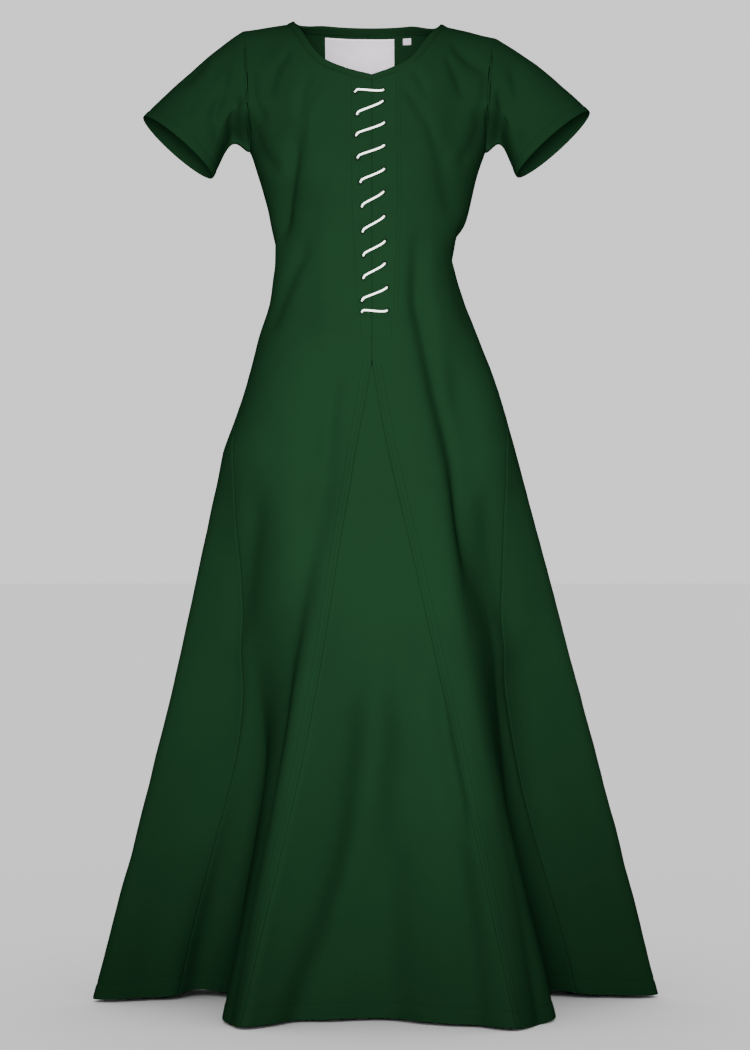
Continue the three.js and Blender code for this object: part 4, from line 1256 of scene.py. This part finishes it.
# How the lace bends on its way across: share of the way, and millimetres above the straight line
LACE_BEND = [(0.06, 1.9), (0.2, 1.7), (0.5, 0.1), (0.8, -1.1), (0.94, -1.0)]
LACE_ARCH = 0.8 * MM
LACE_CLEARANCE = 1.0 * MM
LACE_STEP = 0.9 * MM
LACE_SIDES = 20

# How far each end of the lace lies beside and below its last eyelet
LACE_TAIL = (22 * MM, 6 * MM)
BRAID_PITCH = 6.5 * MM
BRAID_RIBS = 4
BRAID_RELIEF = 0.055

EYELET_STITCHES = 16
EYELET_SIDES = 48
STITCH_RISE = 0.55 * MM
STITCH_RIDGE = 0.22
EYELET_INNER = EYELET_HOLE * 0.93
EYELET_OUTER = EYELET_HOLE * 1.55

# Section of the stitching round an eyelet: radius, and share of the full rise
EYELET_SECTION = [
    (EYELET_INNER, -0.4), (EYELET_INNER * 1.04, 0.6), ((EYELET_INNER + EYELET_OUTER) / 2, 1.0),
    (EYELET_OUTER * 0.97, 0.45), (EYELET_OUTER, -0.5),
]


def lace_path():
    """The route of the lace: across outside between the eyelets of a row, and down inside."""
    outside = -(LACE_RADIUS + LACE_CLEARANCE)
    inside = CLOTH + LACE_RADIUS + LACE_CLEARANCE
    points = []

    def lay(start, end, depth, arch=0.0):
        for t, hook in LACE_BEND:
            place = front_point(mix(start[0], end[0], t), mix(start[1], end[1], t))[0]
            lift = depth - arch * math.sin(math.pi * t)
            points.append(place + np.array([0, lift, hook * MM if arch else 0]))

    def through(eyelet):
        points.append(front_point(*eyelet)[0] + np.array([0, CLOTH / 2, 0]))

    first, last = EYELETS[0][0], EYELETS[-1][1]
    lay((first[0] - LACE_TAIL[0], first[1] - LACE_TAIL[1]), first, inside)
    for i, (right, left) in enumerate(EYELETS):
        through(right)
        lay(right, left, outside, LACE_ARCH)
        through(left)
        if i + 1 < len(EYELETS):
            lay(left, EYELETS[i + 1][0], inside)
    lay(last, (last[0] + LACE_TAIL[0], last[1] - LACE_TAIL[1]), inside)
    return np.array(points)


def smooth_path(points, step):
    """A rounded line through the points, cut into even steps."""
    chord = np.linalg.norm(np.diff(points, axis=0), axis=1) ** 0.5
    knots = np.concatenate([[0], np.cumsum(chord)])
    dense = np.linspace(0, knots[-1], len(points) * 24)
    line = np.column_stack([curve_through(knots, column)(dense) for column in points.T])
    length = run_lengths(line)
    return along_line(np.arange(0, length[-1], step), length, line)


def braid(angles, along):
    """Low ribs that cross each other round the cord."""
    turn = along * 2 * math.pi / BRAID_PITCH
    ribs = np.sin(BRAID_RIBS * angles + turn) * np.sin(BRAID_RIBS * angles - turn)
    return BRAID_RELIEF * ribs


def lace():
    made = tube("lace_cord", smooth_path(lace_path(), LACE_STEP), LACE_RADIUS, LACE_SIDES, braid)
    finish_piece(made, WHITE_CORD, "lace")


def eyelet_ring(centre, out):
    """A ring of buttonhole stitches round one hole."""
    side = unit(np.cross(out, [0, 0, 1.0]))
    up = np.cross(side, out)
    around = np.arange(EYELET_SIDES) * 2 * math.pi / EYELET_SIDES
    circle = np.outer(np.cos(around), side) + np.outer(np.sin(around), up)
    ridges = np.outer(1 + STITCH_RIDGE * np.cos(around * EYELET_STITCHES), out)
    rings = [centre + radius * circle + rise * STITCH_RISE * ridges for radius, rise in EYELET_SECTION]
    return np.concatenate(rings), grid_faces(len(rings), EYELET_SIDES, closed=True)


def eyelets():
    rings = []
    for row in EYELETS:
        for x, z in row:
            centre = front_point(x, z)[0]
            out = front_out(x, z, reach=4 * MM)[0]
            rings.append(eyelet_ring(centre, out))
            rings.append(eyelet_ring(centre - out * CLOTH, -out))
    finish_piece(joined("eyelet_stitches", rings), GREEN_THREAD)


# Labels, plain

LABELS = [
    # name, wearer's right end, left end, top, bottom, columns, rows
    ("neck_label", -0.069, 0.033, 0.006, -0.052, 60, 36),
    ("size_label", 0.046, 0.058, 0.006, -0.003, 10, 8),
]
LABEL_CLOTH = 0.5 * MM
LABEL_CLEARANCE = 1.1 * MM
LABEL_RIPPLE = 0.5 * MM
LABEL_RIPPLE_RATE = 95
LABEL_RIPPLE_START = 0.04


def label(name, right, left, top, bottom, columns, rows):
    """A plain label inside the back, flat at its top and rippled a little lower down."""
    xs = np.linspace(right, left, columns)
    zs = np.linspace(top, bottom, rows)
    points, outs = [], []
    for z in zs:
        lift = lift_of(xs, z, False)
        out = upper_normal(xs, lift)
        back = upper(xs, lift)
        ripple = LABEL_RIPPLE * np.sin(xs * LABEL_RIPPLE_RATE + 1) * smooth((top - z) / LABEL_RIPPLE_START)
        pressed = crease_depth(back, out) + unevenness(back) + CLOTH + LABEL_CLEARANCE
        points.append(back - out * (pressed + ripple)[:, None])
        outs.append(-out)
    points, out = np.array(points), np.array(outs)
    uvs = np.stack(np.meshgrid(xs, zs), axis=-1)
    made = cloth(f"{name}_satin", points, out, uvs, thickness=LABEL_CLOTH)
    finish_piece(made, SATIN, name)
    return made, (points[1, 1:-1] + out[1, 1:-1] * 0.1 * MM, out[1, 1:-1])


# Topstitching

def hem_line(panel):
    above = panel.base[:, panel.base.shape[1] // 2, 2] - HEM_Z
    row = int(np.argmin(np.abs(above - HEM_STITCH)))
    return panel.points[row], panel.out[row]


def on_front(places):
    """A stitch line on the front through places seen from the front, on the finished cloth."""
    places = np.array(places, float)
    lengths = run_lengths(places)
    even = np.linspace(0, lengths[-1], max(2, int(lengths[-1] / (4 * MM))))
    x, z = along_line(even, lengths, places).T
    points, out = front_point(x, z), front_out(x, z)
    depth = crease_depth(points, out) + unevenness(points) + lacing_pull(points)
    return points - out * depth[:, None], out


def topstitching(fronts, hems, edges):
    """The stitch lines beside the gore seams and the slit, round the hem and along the edges."""
    below_apex = np.concatenate([np.zeros(len(UPPER_UPS), bool), LEVELS < GORE_APEX_Z])
    runs = [panel.line(distance, below_apex) for panel in fronts for distance in SEAM_STITCHES]
    runs += [hem_line(panel) for panel in hems]
    runs += [on_front(line) for line in SLIT_STITCHES]
    made = joined("topstitching", [stitch_run(*run) for run in (*runs, *edges)])
    finish_piece(made, GREEN_THREAD)


# Build everything

front_right, right_panel = front_panel("right")
front_left, left_panel = front_panel("left")
front_gore, gore_panel = gore("front_gore", around_of("gore_seam_left") - GIRTH,
                              around_of("gore_seam_right"), GORE_APEX_Z, 34)
side_right, side_right_panel = gore("side_gore_right", around_of("side_front_right"),
                                    around_of("side_back_right"), SIDE_APEX_Z, 26)
side_left, side_left_panel = gore("side_gore_left", around_of("side_back_left"),
                                  around_of("side_front_left"), SIDE_APEX_Z, 26)
back, back_grid = back_panel()
sleeve_right, right_cuff = sleeve("right")
sleeve_left, left_cuff = sleeve("left")
neck_binding, binding_line = binding()
lace()
eyelets()
neck_label, label_run = label(*LABELS[0])
size_label = label(*LABELS[1])[0]
hem_panels = (right_panel, gore_panel, left_panel, side_right_panel, side_left_panel, back_grid)
topstitching((right_panel, left_panel), hem_panels, (right_cuff, left_cuff, binding_line))
finish_piece(joined("label_stitching", [stitch_run(*label_run)]), WHITE_CORD)


# Stage, light and camera

FLOOR_SIZE = 60
FLOOR_GAP = 4 * MM
LAMP_WIDTH = 0.5
LAMP_HEIGHT = 1.5
LAMP_SPREAD = math.radians(42)
LAMP_Z = -0.56
ROOM_LIGHT = 1.1
CAMERA_PLACE = (0.0043, -4.2, -0.706)


def stage():
    place = (0, 0, CAD_BOX[0].z - FLOOR_GAP)
    bpy.ops.mesh.primitive_plane_add(size=FLOOR_SIZE, location=place)
    floor = bpy.context.object
    floor.name = "floor"
    made, tree, shader = new_material("pale_floor")
    feed(tree, shader, {"Base Color": (0.9, 0.9, 0.9, 1), "Roughness": 0.9})
    floor.data.materials.append(made)
    return floor


def soft_box(name, x, y, power, floor):
    """A tall soft box that lights the gown alone, so that the floor stays even."""
    data = bpy.data.lights.new(name, "AREA")
    data.shape = "RECTANGLE"
    data.size = LAMP_WIDTH
    data.size_y = LAMP_HEIGHT
    data.energy = power
    data.spread = LAMP_SPREAD
    lamp = bpy.data.objects.new(name, data)
    bpy.context.scene.collection.objects.link(lamp)
    lamp.location = (x, y, LAMP_Z)
    lamp.rotation_euler = Vector((-x, -y, 0)).to_track_quat("-Z", "Y").to_euler()
    lamp.visible_camera = False
    unlit = bpy.data.collections.new(f"{name}_unlit")
    unlit.objects.link(floor)
    unlit.collection_objects[0].light_linking.link_state = "EXCLUDE"
    lamp.light_linking.receiver_collection = unlit


def lights(floor):
    """A pale studio: a bright room with one tall soft box in front and one behind."""
    world = bpy.data.worlds.new("studio")
    bpy.context.scene.world = world
    world.use_nodes = True
    room = world.node_tree.nodes["Background"]
    room.inputs["Color"].default_value = (1, 1, 1, 1)
    room.inputs["Strength"].default_value = ROOM_LIGHT
    soft_box("key", -0.06, -2.1, 18, floor)
    soft_box("behind", 0.06, 2.2, 19, floor)


def camera():
    data = bpy.data.cameras.new("camera")
    data.lens = 100
    data.sensor_width = 36
    data.clip_end = 100
    made = bpy.data.objects.new("camera", data)
    bpy.context.scene.collection.objects.link(made)
    made.location = CAMERA_PLACE
    made.rotation_euler = (math.pi / 2, 0, 0)
    bpy.context.scene.camera = made


lights(stage())
camera()
